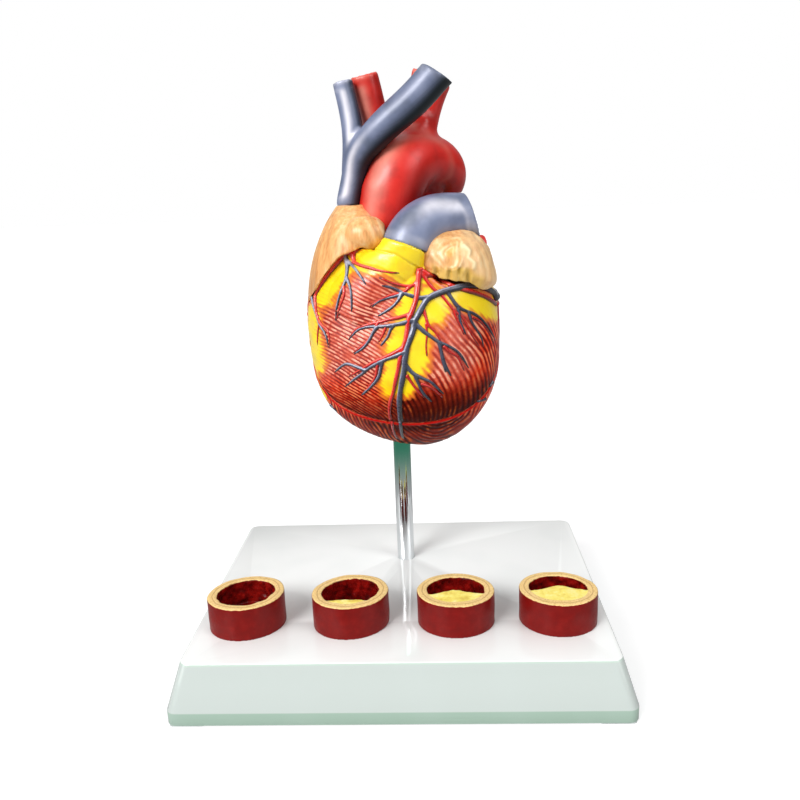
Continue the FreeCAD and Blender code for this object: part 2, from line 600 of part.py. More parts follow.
def make_aorta(form):
    root = rod(AORTIC_BORE, at(*AORTIC, AV_PLANE - 1), Z, 24)
    ends = [lumen(branch) for branch in (NECK_RIGHT, NECK_MIDDLE, NECK_LEFT)]
    way = (at(*ARCH_END) - at(*AORTA[-3][0])).normalize()
    arch_bore = rod(AORTA[-2][1] - ARCH_WALL, at(*ARCH_END) - way * ARCH_DEPTH, way, ARCH_DEPTH * 2)
    return largest(cut(form, [root, arch_bore, *ends]))


def make_cava(aorta):
    whole = fuse([vessel(CAVA), vessel(NECK_VEIN)]).common(above(CAVA_FOOT))
    way = at(*CAVA[-1][0]) - at(*CAVA[-2][0])
    bore = rod(CAVA[-1][1] - LUMEN_WALL, at(*NECK_END) - way.normalize() * LUMEN_DEPTH, way, 30)
    return largest(cut(whole, [past(NECK_END, NECK_END_TILT, 30, 30), bore, lumen(NECK_VEIN), aorta]))


def lung_artery_form(aorta):
    """The pulmonary trunk and its two branches, before their bores."""
    whole = fuse([vessel(LUNG_ARTERY), vessel(LUNG_ARTERY_RIGHT)]).common(beyond_collar(SEAM_GAP))
    return largest(cut(whole, [past(LUNG_ARTERY_END, LUNG_ARTERY_END_TILT, 20, 20), aorta]))


def make_lung_artery(form):
    root = rod(PULMONARY_BORE, at(*COLLAR) - COLLAR_TILT, COLLAR_TILT, 12)
    way = at(*LUNG_ARTERY[-1][0]) - at(*LUNG_ARTERY[-2][0])
    bottom = at(*LUNG_ARTERY_END) - way.normalize() * LUMEN_DEPTH
    bore = rod(LUNG_ARTERY[-1][1] - LUMEN_WALL, bottom, way, 30)
    return largest(cut(form, [bore, lumen(LUNG_ARTERY_RIGHT), root]))


def make_lung_veins(paths, neighbours):
    veins = []
    for path in paths:
        veins.append(largest(cut(vessel(path), [lumen(path, wall=1.6), *neighbours])))
    return Part.makeCompound(veins)


# ---------------------------------------------------------------- heart: atria
def make_left_atrium(aorta, lung_artery):
    whole = loft([oval(*section) for section in LEFT_ATRIUM_SECTIONS])
    left_of = block((-FAR, -FAR, 0), (at(ATRIAL_WALL_X, 0, 0).x, FAR, FAR * 2))
    room = ellipsoid(*LEFT_ATRIUM_ROOM)
    port = rod(MITRAL_RADIUS, at(*MITRAL, AV_PLANE - 1), Z, 10)
    before = block((-FAR, -FAR, 0), (FAR, at(0, SEAM_Y, 0).y + SEAM_GAP, FAR * 2))
    return largest(cut(whole, [left_of, room, port, before, aorta, lung_artery]))


def make_right_atrium(aorta, lung_artery):
    body = loft([oval(*section) for section in RIGHT_ATRIUM_SECTIONS])
    lobe = ellipsoid(*RIGHT_AURICLE)
    whole = body.fuse(lobe)
    right_of = block((at(ATRIAL_WALL_X, 0, 0).x, at(0, SEAM_Y, 0).y, 0), (FAR, FAR, FAR * 2))
    room = ellipsoid(*RIGHT_ATRIUM_ROOM)
    port = rod(TRICUSPID_RADIUS, at(*TRICUSPID, AV_PLANE - 1), Z, 10)
    limits = [front_zone(SEAM_GAP), right_of, above(CAVA_FOOT), behind_seam()]
    return largest(cut(whole, [*limits, room, port, aorta, lung_artery]))


def make_left_auricle(lung_artery, aorta, left_atrium):
    whole = ellipsoid(*LEFT_AURICLE)
    return largest(cut(whole, [front_zone(SEAM_GAP), lung_artery, aorta, left_atrium, behind_seam()]))


# ---------------------------------------------------------------- valves
def hanging_valve(place, radius, flaps):
    """A ring in its bore with flaps that hang into the ventricle as a slit funnel."""
    middle = at(*place, 0)
    ceiling, top = at(0, 0, CEILING).z, at(0, 0, AV_PLANE).z
    foot = Vector(middle.x, middle.y, ceiling - FLAP_DROP)
    outer = Part.makeCone(radius * 0.62, radius - 0.6, FLAP_DROP + 4, foot, Z)
    inner = Part.makeCone(radius * 0.62 - LEAFLET, radius - 0.6 - LEAFLET, FLAP_DROP + 4, foot, Z)
    ring = rod(radius, Vector(middle.x, middle.y, ceiling + 3), Z, top - ceiling - 3)
    way = rod(radius - 2.6, Vector(middle.x, middle.y, ceiling), Z, top - ceiling + 1)
    funnel = outer.cut(inner)
    for i in range(flaps):
        corners = [foot + Vector(0, -1.5, -1), foot + Vector(0, 1.5, -1), foot + Z * (FLAP_DROP - 1)]
        slit = prism(corners, X * 20)
        slit.rotate(foot, Z, 360 * i / flaps + 20)
        funnel = funnel.cut(slit)
    return largest(ring.fuse(funnel).cut(way))


def pocket_valve(foot, direction, radius):
    """Three cup-shaped cusps in a thin ring, across a vessel's root."""
    whole = None
    for i in range(3):
        turn = math.radians(120 * i + 30)
        centre = Vector(math.cos(turn), math.sin(turn), 0) * radius * 0.5 + Z * radius * 0.55
        cup = Part.makeSphere(radius * 0.55, centre)
        shell = cup.cut(Part.makeSphere(radius * 0.55 - LEAFLET, centre))
        cut_top = shell.cut(rod(radius * 2, Z * radius * 0.55, Z, radius * 2))
        whole = cut_top if whole is None else whole.fuse(cut_top)
    ring = rod(radius, Vector(0, 0, 0), Z, radius * 0.55).cut(rod(radius - LEAFLET, -Z, Z, radius + 2))
    whole = whole.common(rod(radius, Vector(0, 0, -1), Z, radius)).fuse(ring)
    whole.Placement = Placement(foot, Rotation(Z, direction))
    return whole


# ---------------------------------------------------------------- papillary muscles and their strings
def muscles(room, places):
    """Finger-shaped muscles that grow from the chamber's wall towards the valve."""
    return [largest(vessel(stations).common(room)) for stations in places]


def strings(places, valve_place, valve_radius, solids):
    """Fine strings from each muscle's tip to the edge of the flaps."""
    middle = at(*valve_place, 0)
    edge_z = at(0, 0, CEILING).z - FLAP_DROP + 2.5
    reach = valve_radius * 0.62 + 0.4
    fans = []
    for stations in places:
        tip = at(*stations[-1][0]) - Z * 1.5
        heading = math.atan2(tip.y - middle.y, tip.x - middle.x)
        for i in range(STRINGS_PER_MUSCLE):
            turn = heading + (i - (STRINGS_PER_MUSCLE - 1) / 2) * STRING_SPREAD
            end = Vector(middle.x + reach * math.cos(turn), middle.y + reach * math.sin(turn), edge_z)
            way = end - tip
            fans.append(rod(CHORD_RADIUS, tip, way, way.Length + 1.5))
    joined = cut(fans[0].fuse(fans[1:]), solids)
    return Part.makeCompound([solid for solid in joined.Solids if solid.Volume > 1.0])


def make_heart():
    whole = ventricles()
    rooms = chambers()
    back = make_back(whole, rooms)
    aorta = aorta_form()
    aorta_room = vessel([(place, radius + AORTA_CLEARANCE) for place, radius in AORTA])
    front = make_front(whole, rooms, aorta_room)
    lung_artery = lung_artery_form(aorta)
    left_atrium = make_left_atrium(aorta, lung_artery)
    right_atrium = make_right_atrium(aorta, lung_artery)
    left_auricle = make_left_auricle(lung_artery, aorta, left_atrium)
    cava = make_cava(aorta).cut(right_atrium)
    save("heart_back", back)
    save("front_wall", front)
    save("aorta", make_aorta(aorta))
    save("superior_vena_cava", cava)
    save("pulmonary_artery", make_lung_artery(lung_artery))
    save("left_atrium", left_atrium)
    save("right_atrium", right_atrium)
    save("left_auricle", left_auricle)
    right_room, left_room = ellipsoid(*RIGHT_ATRIUM_ROOM), ellipsoid(*LEFT_ATRIUM_ROOM)
    lower_cava = largest(cut(vessel(LOWER_CAVA), [lumen(LOWER_CAVA), right_atrium, back, right_room]))
    save("inferior_vena_cava", lower_cava)
    beside_left = [left_atrium, back, left_room]
    beside_right = [left_atrium, right_atrium, back, left_room]
    save("pulmonary_veins_left", make_lung_veins(LUNG_VEINS_LEFT, beside_left))
    save("pulmonary_veins_right", make_lung_veins(LUNG_VEINS_RIGHT, beside_right))
    mitral = hanging_valve(MITRAL, MITRAL_RADIUS, 2)
    tricuspid = hanging_valve(TRICUSPID, TRICUSPID_RADIUS, 3)
    save("mitral_valve", mitral)
    save("tricuspid_valve", tricuspid)
    root = at(*AORTIC, 0)
    save("aortic_valve", pocket_valve(Vector(root.x, root.y, at(0, 0, AV_PLANE).z), Z, AORTIC_BORE))
    collar = at(*COLLAR) - COLLAR_TILT * VALVE_DEPTH
    save("pulmonary_valve", pocket_valve(collar, COLLAR_TILT, PULMONARY_BORE))
    left = muscles(rooms[0], LEFT_MUSCLES)
    right = muscles(rooms[1], RIGHT_MUSCLES)
    save("papillary_muscles_left", Part.makeCompound(left))
    save("papillary_muscles_right", Part.makeCompound(right))
    save("chordae_left", strings(LEFT_MUSCLES, MITRAL, MITRAL_RADIUS, [mitral, *left]))
    save("chordae_right", strings(RIGHT_MUSCLES, TRICUSPID, TRICUSPID_RADIUS, [tricuspid, *right]))
    save("locating_pegs", Part.makeCompound(pegs(PEG_RADIUS, PEG_ROOT, PEG_LENGTH)))
    save("back_magnets", Part.makeCompound(magnets(False)))
    save("front_magnets", Part.makeCompound(magnets(True)))


if __name__ == "__main__":
    os.makedirs("parts", exist_ok=True)
    save("base_shell", make_base_shell())
    save("corner_feet", make_feet())
    save("rod", make_rod())
    save("rod_cap", make_rod_cap())
    save("rod_insert", make_rod_insert())
    save("rod_washer", make_rod_washer())
    save("rod_screw", make_rod_screw())
    save("socket_bush", make_socket_bush())
    for i in range(len(ARTERY_X)):
        save(f"artery_section_{i + 1}", make_artery(i))
    save("artery_screws", make_artery_screws())
    make_heart()
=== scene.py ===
"""Finishes of a classroom heart model: painted muscle with raised coronary vessels, glossy great vessels,
artery sections, steel rod and white base. An add-on with one operator for each group of pieces."""
import math

import bmesh
import bpy
import numpy as np
from mathutils import Matrix, Vector
from mathutils.bvhtree import BVHTree


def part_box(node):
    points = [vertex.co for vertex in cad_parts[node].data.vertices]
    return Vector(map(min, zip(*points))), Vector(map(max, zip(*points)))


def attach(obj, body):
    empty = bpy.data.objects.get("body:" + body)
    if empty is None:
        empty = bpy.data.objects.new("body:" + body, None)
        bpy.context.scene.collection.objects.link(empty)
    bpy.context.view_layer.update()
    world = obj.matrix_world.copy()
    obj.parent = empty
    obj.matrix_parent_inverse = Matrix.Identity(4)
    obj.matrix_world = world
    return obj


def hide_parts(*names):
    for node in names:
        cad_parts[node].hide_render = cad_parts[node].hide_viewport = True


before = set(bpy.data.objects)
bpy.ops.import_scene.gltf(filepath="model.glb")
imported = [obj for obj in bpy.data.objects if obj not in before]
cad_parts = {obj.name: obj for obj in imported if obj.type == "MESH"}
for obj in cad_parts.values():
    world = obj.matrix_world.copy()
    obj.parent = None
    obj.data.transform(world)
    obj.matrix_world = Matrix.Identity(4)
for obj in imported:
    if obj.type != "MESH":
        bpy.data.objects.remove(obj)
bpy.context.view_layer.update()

bl_info = {
    "name": "Heart model finishes",
    "version": (1, 0, 0),
    "blender": (4, 5, 0),
    "location": "View3D > Sidebar > Heart model",
    "description": "Builds the painted surfaces, coronary vessels, materials and studio of a heart model",
    "category": "Object",
}

MM = 0.001
HEART_ORIGIN = (0.0, 0.030, 0.0966)             # on the rod's axis at the apex's height, metres
SEAM_Y = -8.0                                   # upright part of the seam, from the rod, mm
SEAM_KNEE = 45.5                                # above this height the seam is upright, mm
SEAM_TOE = (-33.0, 21.0)                        # a point of its leaning part: y and height, mm
GIRTH_OF_HEART = 45.0                           # mean radius of the ventricles, mm
STRANDS_AROUND = 140                            # muscle strands round the heart's back half

# Front view: the place and directions of the camera, and its picture of 800 by 800 pixels.
VIEW_PLACE = Vector((20.65, -393.6, 230.5)) * MM
VIEW_RIGHT = Vector((0.99854, 0.03942, -0.03683))
VIEW_UP = Vector((0.02579, 0.25096, 0.96765))
VIEW_AHEAD = Vector((-0.04739, 0.96719, -0.24958))
PICTURE = 800.0
# Tall windows of the studio: the way from the front and half the width, in degrees, and the brightness.
WINDOWS = ((-62, 13, 3.2), (58, 10, 2.2))

# Coronary veins of the front wall: name, first and last radius in mm, and places in the front view.
FRONT_VEINS = (
    ("great_cardiac_vein", 1.65, 1.25,
     ((496.1, 298.1), (491.4, 291.4), (481.5, 287.1), (470.7, 285.8), (459.1, 287.4), (445.8, 290.8),
      (435.9, 294.4), (427.6, 299.1), (422.9, 306), (419, 313.5), (415.1, 320.9), (413.2, 330.1),
      (410.2, 339.2), (406.8, 349.1), (405.2, 359.1), (404, 370.7), (401.9, 382.3), (399.9, 395.6),
      (399.7, 408.8), (400.6, 419.8))),
    ("conus_vein", 1.15, 0.5,
     ((427.6, 296.9), (420.9, 298.1), (412.7, 296.4), (402.7, 292.8), (396.1, 289.4), (389.4, 287),
      (381.5, 285.8))),
    ("conus_vein_middle", 0.85, 0.45,
     ((403, 293.4), (396.1, 296.1), (386.1, 298.6), (377.8, 301.9), (372, 307.3))),
    ("conus_vein_low", 0.9, 0.5,
     ((401.9, 294.7), (398.1, 300.7), (393.1, 306.4), (386.1, 311.3), (377.8, 316.3))),
    ("right_wall_vein_upper", 1.2, 0.45,
     ((416.3, 319), (406.8, 322.3), (396.1, 324.6), (386.1, 326.2), (376.2, 326.7), (366.2, 327.2),
      (357.9, 330.1), (351.3, 336.7), (348.3, 340.5))),
    ("right_wall_vein_upper_fork", 0.95, 0.5,
     ((377.8, 326.7), (373.2, 332.6), (369.5, 340), (362.9, 348.3), (353.8, 354.1))),
    ("right_wall_vein_upper_spur", 0.85, 0.5,
     ((394.4, 324.6), (390.3, 330.1), (387.8, 336.7), (380.8, 345.8))),
    ("right_wall_vein_lower", 1.3, 0.5,
     ((406.7, 351.1), (396.1, 355.8), (386.1, 359.1), (377.8, 363.2), (369.5, 367.7), (362.9, 373.2),
      (354.6, 379), (345, 386.9))),
    ("right_wall_vein_lower_fork", 0.95, 0.5,
     ((366.2, 370.4), (357.1, 367), (347.2, 363.7), (341.7, 366), (335.1, 372))),
    ("right_wall_vein_lower_spur", 1.0, 0.55,
     ((382.5, 361.2), (380.8, 369), (378.8, 377.3), (371.2, 386.4), (361.6, 395.2))),
    ("left_wall_vein_upper", 1.0, 0.5,
     ((447.1, 291.4), (452.4, 299.7), (457.8, 306.8), (465.7, 311), (471.5, 312.7), (479.8, 318),
      (486.4, 325.1), (490.9, 332.6), (495.6, 340.5))),
    ("left_wall_vein_upper_spur", 0.85, 0.45,
     ((457.8, 306.8), (459.4, 316), (461.1, 324.3), (466, 334.5))),
    ("left_wall_vein_upper_fork", 0.8, 0.45,
     ((468.2, 311.8), (471, 320.9), (476, 329.2), (481, 337.5), (483.6, 346.6))),
    ("left_wall_vein_middle", 1.15, 0.5,
     ((414.6, 322.3), (422.3, 330.1), (430.9, 336.7), (439.5, 342.5), (447.8, 345.8), (456.1, 350.5),
      (461.6, 356.6), (468.7, 368.2))),
    ("left_wall_vein_middle_spur", 1.05, 0.5,
     ((439.2, 342.5), (441.2, 352.4), (445, 364.1), (451.1, 376))),
    ("left_wall_vein_middle_tip", 0.8, 0.45,
     ((441.2, 351.6), (442.5, 360.7), (445.8, 372.3))),
    ("left_wall_vein_lower", 1.1, 0.5,
     ((405.5, 364.1), (411.8, 372.3), (420.9, 377.7), (429.2, 381), (436.7, 387.3), (443.8, 394.2))),
    ("left_wall_vein_lower_fork", 0.9, 0.5,
     ((415.1, 375.3), (418.5, 383.6), (422.9, 392.6), (431.6, 401.9))),
    ("anterior_cardiac_vein", 1.2, 0.5,
     ((345, 253.8), (347.2, 262.9), (347.3, 272.9), (345, 283.1), (341, 292.8), (338, 302.7),
      (336.4, 312.7), (335.7, 320.9))),
    ("anterior_cardiac_vein_right", 0.95, 0.45,
     ((346.3, 259.6), (353, 266.2), (358.3, 272.9), (362.9, 279.5), (365.9, 284.8))),
    ("anterior_cardiac_vein_low", 0.85, 0.45,
     ((346.7, 277.8), (350, 286.1), (351.5, 296.1), (351.8, 311.8))),
    ("right_margin_vein", 0.95, 0.45,
     ((312, 296.1), (314, 306), (317.3, 316), (319.8, 325.1), (324.1, 331.2), (327.3, 339.2),
      (328.4, 347.8))),
)
# Coronary arteries of the front wall, in the same form.
FRONT_ARTERIES = (
    ("descending_artery", 1.5, 0.85,
     ((419.3, 267.6), (418.6, 279.5), (417.3, 289.4), (416, 299.4), (412.2, 311), (408.8, 319.3),
      (407.3, 329.2), (406, 339.2), (403, 347.5), (400.4, 357.4), (398.6, 367.4), (396.1, 379),
      (393.4, 392.2), (390.4, 402.2), (389.6, 412.1), (390.8, 418.8))),
    ("right_wall_artery_upper", 1.05, 0.45,
     ((410.5, 314), (400.2, 317.3), (389.4, 319.3), (379.5, 322.1), (369.5, 324.3), (361.2, 326.7),
      (354.6, 330.6), (349.3, 338.4))),
    ("right_wall_artery_lower", 1.15, 0.45,
     ((403, 347.5), (394.4, 352.8), (386.1, 356.8), (376.5, 360.7), (369.5, 364.4), (358.8, 370.7),
      (348.3, 377))),
    ("right_wall_artery_spur", 0.75, 0.4,
     ((377.8, 323.9), (372, 334.2), (365.4, 343.3), (352.5, 353.4))),
    ("right_wall_artery_short", 0.75, 0.4,
     ((386.1, 325.9), (383.1, 334.2), (378.2, 342.5))),
    ("right_wall_artery_foot", 0.8, 0.4,
     ((377.8, 362.4), (375.7, 375.7), (370.4, 384.8), (364.2, 392.6))),
    ("conus_artery_left", 1.0, 0.45,
     ((418.6, 278.7), (413.5, 285.3), (406.4, 286.1), (396.1, 284.1), (387, 280.8), (378.8, 277.5))),
    ("conus_artery_spur", 0.85, 0.4,
     ((411, 286.1), (402.7, 292.8), (392.8, 294.7), (382.8, 298.1), (374.8, 302.7), (369.2, 307.3))),
    ("circumflex_artery", 1.25, 1.1,
     ((419.6, 268.7), (425.9, 273.7), (434.2, 278.2), (444.2, 283.1), (452.4, 286.5), (462.4, 289.4),
      (475.7, 293.1), (487.3, 298.1), (496.1, 304.7))),
    ("diagonal_artery_upper", 0.95, 0.4,
     ((422.9, 274.5), (429.2, 284.1), (434.5, 289.8), (441.7, 295.2), (447.8, 303), (454.1, 310.7),
      (462.1, 317.3), (467.4, 325.9), (471.5, 335), (479.8, 346.6))),
    ("diagonal_artery_spur", 0.7, 0.4,
     ((453.3, 308.5), (455.8, 317.6), (460.4, 325.9), (464.1, 335))),
    ("diagonal_artery_fork", 0.7, 0.4,
     ((471.5, 317.3), (479.3, 320.9), (487.3, 330.6), (494.2, 343.3))),
    ("diagonal_artery_middle", 0.95, 0.4,
     ((422.9, 307.7), (425.9, 317.6), (428.7, 325.6), (434.5, 331.2), (438.9, 337.9), (441.7, 343.3))),
    ("diagonal_artery_thin", 0.6, 0.4,
     ((425.9, 323.4), (426.9, 334.2), (426.1, 345.8), (426.9, 356.6))),
    ("diagonal_artery_lower", 0.85, 0.4,
     ((443.3, 345.8), (450.8, 352.8), (457.4, 356.8), (461.1, 364.1), (464.4, 371))),
    ("diagonal_artery_foot", 0.95, 0.4,
     ((406.5, 374.8), (412.3, 383.6), (417.6, 390.6), (424.6, 398))),
    ("diagonal_artery_foot_fork", 0.75, 0.4,
     ((420.9, 383.6), (430.9, 387.3), (439.2, 393.9), (442.8, 398))),
    ("right_coronary_root", 2.3, 1.9,
     ((367.6, 247.7), (361.2, 247.7), (354.6, 249.6), (349.6, 252))),
    ("right_coronary_artery", 1.6, 0.5,
     ((354.6, 250.3), (346.3, 254.6), (337.2, 264.2), (328.4, 274.8), (320.8, 286.1), (315.8, 296.1),
      (316.3, 307.7), (318.1, 317.6), (322.8, 325.9), (327.8, 330.1), (329.7, 339.2), (329.4, 347.8))),
    ("right_margin_artery", 0.8, 0.4,
     ((316.1, 311), (319.1, 320.9), (318, 334.2), (317.5, 345.8))),
    ("conus_artery_right_knot", 1.7, 1.1,
     ((354.9, 251.3), (353.3, 257.1), (354.6, 262.9))),
    ("conus_artery_right", 1.0, 0.4,
     ((353.8, 262.1), (359.6, 265.1), (369.5, 267.9), (379.5, 270.7), (389.4, 272.2), (399.7, 273.2))),
    ("right_wall_artery_front", 0.8, 0.4,
     ((344, 286.1), (344, 296.1), (340, 306.8), (336.4, 321.3))),
)
# Vessels over the lip of the back half, in the same form.
LIP_VEINS = (
    ("apex_vein", 1.1, 0.6, ((400.4, 421.8), (400.9, 427.4), (402.0, 433.6), (403.4, 438.5))),
    ("margin_vein_left", 0.8, 0.45, ((330.0, 404.0), (333.5, 407.5), (337.5, 411.5))),
    ("margin_vein_right", 0.9, 0.5, ((493.0, 381.5), (489.5, 387.0))),
    ("margin_vein_low", 0.9, 0.5, ((486.0, 398.5), (477.0, 402.0))),
)
LIP_ARTERIES = (
    ("apex_artery", 1.0, 0.5, ((392.2, 420.6), (392.8, 427.4), (394.6, 433.6), (397.0, 438.2))),
)
# Vessels round the sides and the back: name, first and last radius in mm, and places as the angle from the
# front, towards the viewer's right, and the height above the apex in mm.
BACK_VEINS = (
    ("coronary_sinus", 1.5, 2.5,
     ((82.5, 80), (95, 80.8), (110, 81), (130, 80.5), (155, 80), (180, 80), (200, 80.5))),
    ("middle_cardiac_vein", 1.6, 0.6, ((196, 79.5), (193, 68), (189, 56), (182, 44), (172, 32), (160, 22))),
    ("middle_vein_left_branch", 1.0, 0.5, ((190, 60), (178, 54), (166, 50), (156, 42))),
    ("middle_vein_right_branch", 0.9, 0.5, ((187, 52), (198, 44), (208, 40), (216, 32))),
    ("posterior_vein", 1.3, 0.5, ((140, 80.5), (136, 68), (131, 56), (127, 42), (124, 30))),
    ("posterior_vein_branch", 0.9, 0.45, ((134, 62), (144, 52), (148, 42))),
    ("side_vein", 1.1, 0.5, ((100, 81), (97, 68), (96, 55), (92, 42), (90, 32))),
    ("small_cardiac_vein", 0.8, 1.2, ((250, 70), (238, 76), (222, 79), (204, 80.5))),
    ("right_side_vein", 0.9, 0.45, ((246, 73), (250, 60), (256, 48), (258, 36))),
)
BACK_ARTERIES = (
    ("circumflex_back", 1.15, 0.7, ((82.5, 76.3), (94, 76.8), (108, 77.2), (128, 77), (146, 76))),
    ("side_artery", 1.0, 0.45, ((93, 77), (92, 66), (91, 54), (88, 42), (86, 32))),
    ("side_artery_branch", 0.8, 0.4, ((112, 77.5), (108, 66), (106, 54), (104, 44))),
    ("posterior_artery", 0.9, 0.45, ((146, 76), (143, 64), (140, 50), (136, 40))),
    ("right_coronary_back", 1.4, 1.3, ((271, 71.5), (262, 73.5), (250, 75), (230, 77), (212, 77), (202, 76))),
    ("posterior_descending", 1.3, 0.5, ((202, 76), (199, 66), (195, 54), (189, 42), (178, 30), (168, 20))),
    ("posterior_right_branch", 0.8, 0.4, ((197, 58), (206, 52), (216, 48), (224, 40))),
    ("right_side_artery", 1.0, 0.45, ((265, 73), (268, 58), (271, 45), (272, 34))),
)
# Vessels whose first end is let into the muscle too.
FREE_STARTS = ("right_coronary_back", "small_cardiac_vein", "margin_vein_left", "margin_vein_right",
               "margin_vein_low")
# Fat painted on the front wall: spines in the front view, half width in pixels.
FRONT_FAT = (
    (((359.6, 259.6), (379.5, 259.6), (399.4, 266.2), (412.7, 277.8)), 12.4),  # outflow cone
    (((376, 240), (402, 240), (420, 262)), 17.0),                    # collar
    (((411, 299.4), (406, 311)), 8.3),                               # groove, left of the vein, top
    (((403.5, 327.6), (398.6, 339.2), (394.4, 345.8)), 8.0),         # middle
    (((396.1, 362.4), (391.1, 379), (391.1, 387.3)), 6.6),           # foot
    (((430.1, 299.4), (434.2, 311), (424.3, 312.7)), 12.9),          # right of the vein, top
    (((422.6, 329.2), (419.3, 345.8), (418.5, 360.7)), 7.3),         # middle
    (((412.7, 359.1), (417.6, 367.4)), 6.0),                         # low
    (((408.5, 375.7), (407.7, 388.9)), 3.6),                         # foot
    (((454.1, 294.4), (475.7, 301.9), (495.6, 311)), 7.6),           # under the circumflex artery
    (((341.7, 267.9), (332.2, 281.1), (323.4, 296.1)), 8.3),         # along the right atrium
    (((310.7, 312.7), (313.2, 337.5), (316.8, 365.7)), 4.3),         # right margin
)
# Fat on the back half: spines as angle and height, half width in mm.
BACK_FAT = (
    (((60, 82), (90, 80.5), (120, 79.5), (150, 79), (180, 79), (210, 79), (240, 77), (270, 72)), 5.0),
    (((200, 76), (196, 62), (190, 48), (180, 34)), 4.2),
    (((140, 76), (136, 62), (131, 50)), 2.4),
    (((283, 66), (285, 50), (288, 32)), 3.0),
    (((62, 76), (75, 77), (90, 79)), 6.0),
)
# The line between the two ventricles' strands, and what the strands curve about: way round and height in mm,
# and for the lip below the seam a place in the front view.
LEFT_OF_GROOVE = ((411, 280), (409, 300), (405, 325), (400, 345), (397, 370), (395, 400), (394, 425))
RIGHT_STRANDS_MIDDLE = (-72.0, -55.0)
LEFT_STRANDS_MIDDLE = (-45.0, 5.0)
LIP_STRANDS_MIDDLE = (436.6, 394.0)
LIP_PITCH = 3.4                             # from one strand of the lip to the next, pixels
# Relief in the front view: the lower edge of the collar's sleeve, and the lobe of fat below it.
COLLAR_LEDGE = ((372, 250.5), (377.8, 250.1), (397.1, 254.2), (411.4, 263.4), (415.5, 265.4), (422, 269))
CONE_LOBE = ((354, 252), (377.8, 250.1), (397.1, 254.2), (411.4, 263.4), (416.5, 266.4), (413.5, 282.5),
             (409.5, 285.2), (402, 279.5), (393, 273.6), (375, 267.5), (362, 264.5), (356.3, 260.3))
# The left auricle in the front view: a soft swirl of cream, a second stroke, and folds along the hem.
AURICLE_SWIRL = (451.0, 253.0)
AURICLE_STROKE = ((464, 246), (469.5, 251), (468, 257.5), (474, 262.5), (472.5, 268.5))
AURICLE_HEM = 267.0                         # below this line the auricle hangs in folds
AURICLE_FOLDS = (436.4, 449.7, 459.5, 468.2)    # the creases between them
# Where the auricle is fuller: a place in the front view, how far round it in pixels, and the shift in mm.
AURICLE_FULLNESS = (((426.0, 262.0), 9.0, (-3.2, -0.6, 0.0)), ((489.0, 276.0), 13.0, (2.4, -0.6, -2.6)))
ATRIUM_LOBE = (375.0, 228.0)                # middle of the right atrium's folds, in the front view
WALL_MIDDLE = (403.0, 340.0)                # middle of the front wall, in the front view
ARCH_PIT_SHADE = ((436.0, 188.0), (17.0, 11.0))   # painted shade in the hollow under the aorta's arch: middle and reach, pixels
# Balls that widen the foot of the neck arteries where they rise from the arch: x, y, height and radius, mm.
NECK_ROOT = ((10.5, 10.5, 161, 6), (14, 10.5, 163.5, 6.2), (16.5, 12, 168, 5.2), (18, 13, 162.5, 5.2))
SECTION_GRAIN, PAPILLARY_GRAIN, VALVE_GRAIN, STRING_GRAIN = 0.42 * MM, 0.6 * MM, 0.4 * MM, 0.22 * MM
FRONT_STEP, SIDE_STEP = 1.2, 1.0            # along a route: pixels, or degrees and mm
BORE_REACH = 32 * MM                        # wider than any vessel's bore
LINING_LIFT, BORE_LIFT = 0.9 * MM, 0.4 * MM     # how far over the surface a straight way outwards starts
RIM_SHARPNESS = 0.035 * MM                  # a bend that is left as it is
FLARE_ROUNDS = 220                          # rounds of filling where the neck arteries rise from the arch
BALL_ROUNDS = 3                             # subdivisions of the balls
VESSEL_THICKNESS = 1.1                      # of the coronary vessels, as a share of the radii in their tables
VESSEL_SIDES = 14
STRAND_KINDS = 512                          # strands that differ in how they rise and fade
OUTLINE_PARTS = 72                          # angles at which an artery section's outline is taken
DRIFT_WAVES = 10                            # waves that make up a random field
OUTSIDE_HEART = 0.15                        # longer than any way out of the heart, metres
UPPER_LEFT = (-0.6, 0.0, 0.8)               # the side of a coronary vessel that gets its painted highlight
# Soft borders. Each is an axis, the place where it is 0 and the place where it is 1.
X, Y, Z = 0, 1, 2
# In the front view, pixels.
COLLAR_SIDES = ((X, 371, 376), (X, 424, 419))
ATRIUM_LOBE_SHADE = ((Y, 238, 249), (X, 356, 368))
LUNG_HIGHLIGHT = ((X, 412, 432),)
HEM_SIDES = ((X, 424, 432), (X, 486, 476))
HEM_CORNER = ((X, 432, 420), (Y, 246, 262))
AURICLE_PAINTED_LIGHT = ((X, 455, 470),)
# Parts of the auricle that are shifted, by so many mm.
AURICLE_SHIFTS = ((((X, 452, 434), (Y, 264, 244)), (-2.2, -1.2, 1.2)),
                  (((Y, 264, 282), (X, 482, 464)), (0.0, 0.0, 2.6)))
# On the heart, mm from the rod and the apex.
LOWER_MUSCLE = ((Z, 52, 20),)
LOWER_LEFT_MUSCLE = ((Z, 52, 24), (X, -8, 12))
LEFT_MARGIN = ((X, 32, 49), (Z, 80, 60))
VEIN_FORK = ((X, -22, -10), (Z, 138, 156))
ARCH_TURN = ((X, 12, 24), (Z, 134, 146))
ARCH_END = ((X, 16, 24), (Z, 166, 152))
ABOVE_ARCH = ((Z, 142, 150),)
BELOW_ARCH = ((Z, 140, 128),)
ASCENDING = ((Z, 104, 116), (Z, 146, 136))
NECK_SIDE = ((Z, 152, 160), (X, 4, 0))
NECK_FOOT = (163, 6.5)                      # height and half width of a band round the arch, mm
# Heights between which the base's paint turns from the lip's to the skirt's, the edge's and the deck's.
LIP_TOP, SKIRT_TOP, DECK_EDGE = (6.9 * MM, 7.4 * MM), (26.9 * MM, 27.3 * MM), (27.75 * MM, 28.05 * MM)
ROD_TINGE = (62 * MM, 98 * MM)              # the chrome turns green between these heights


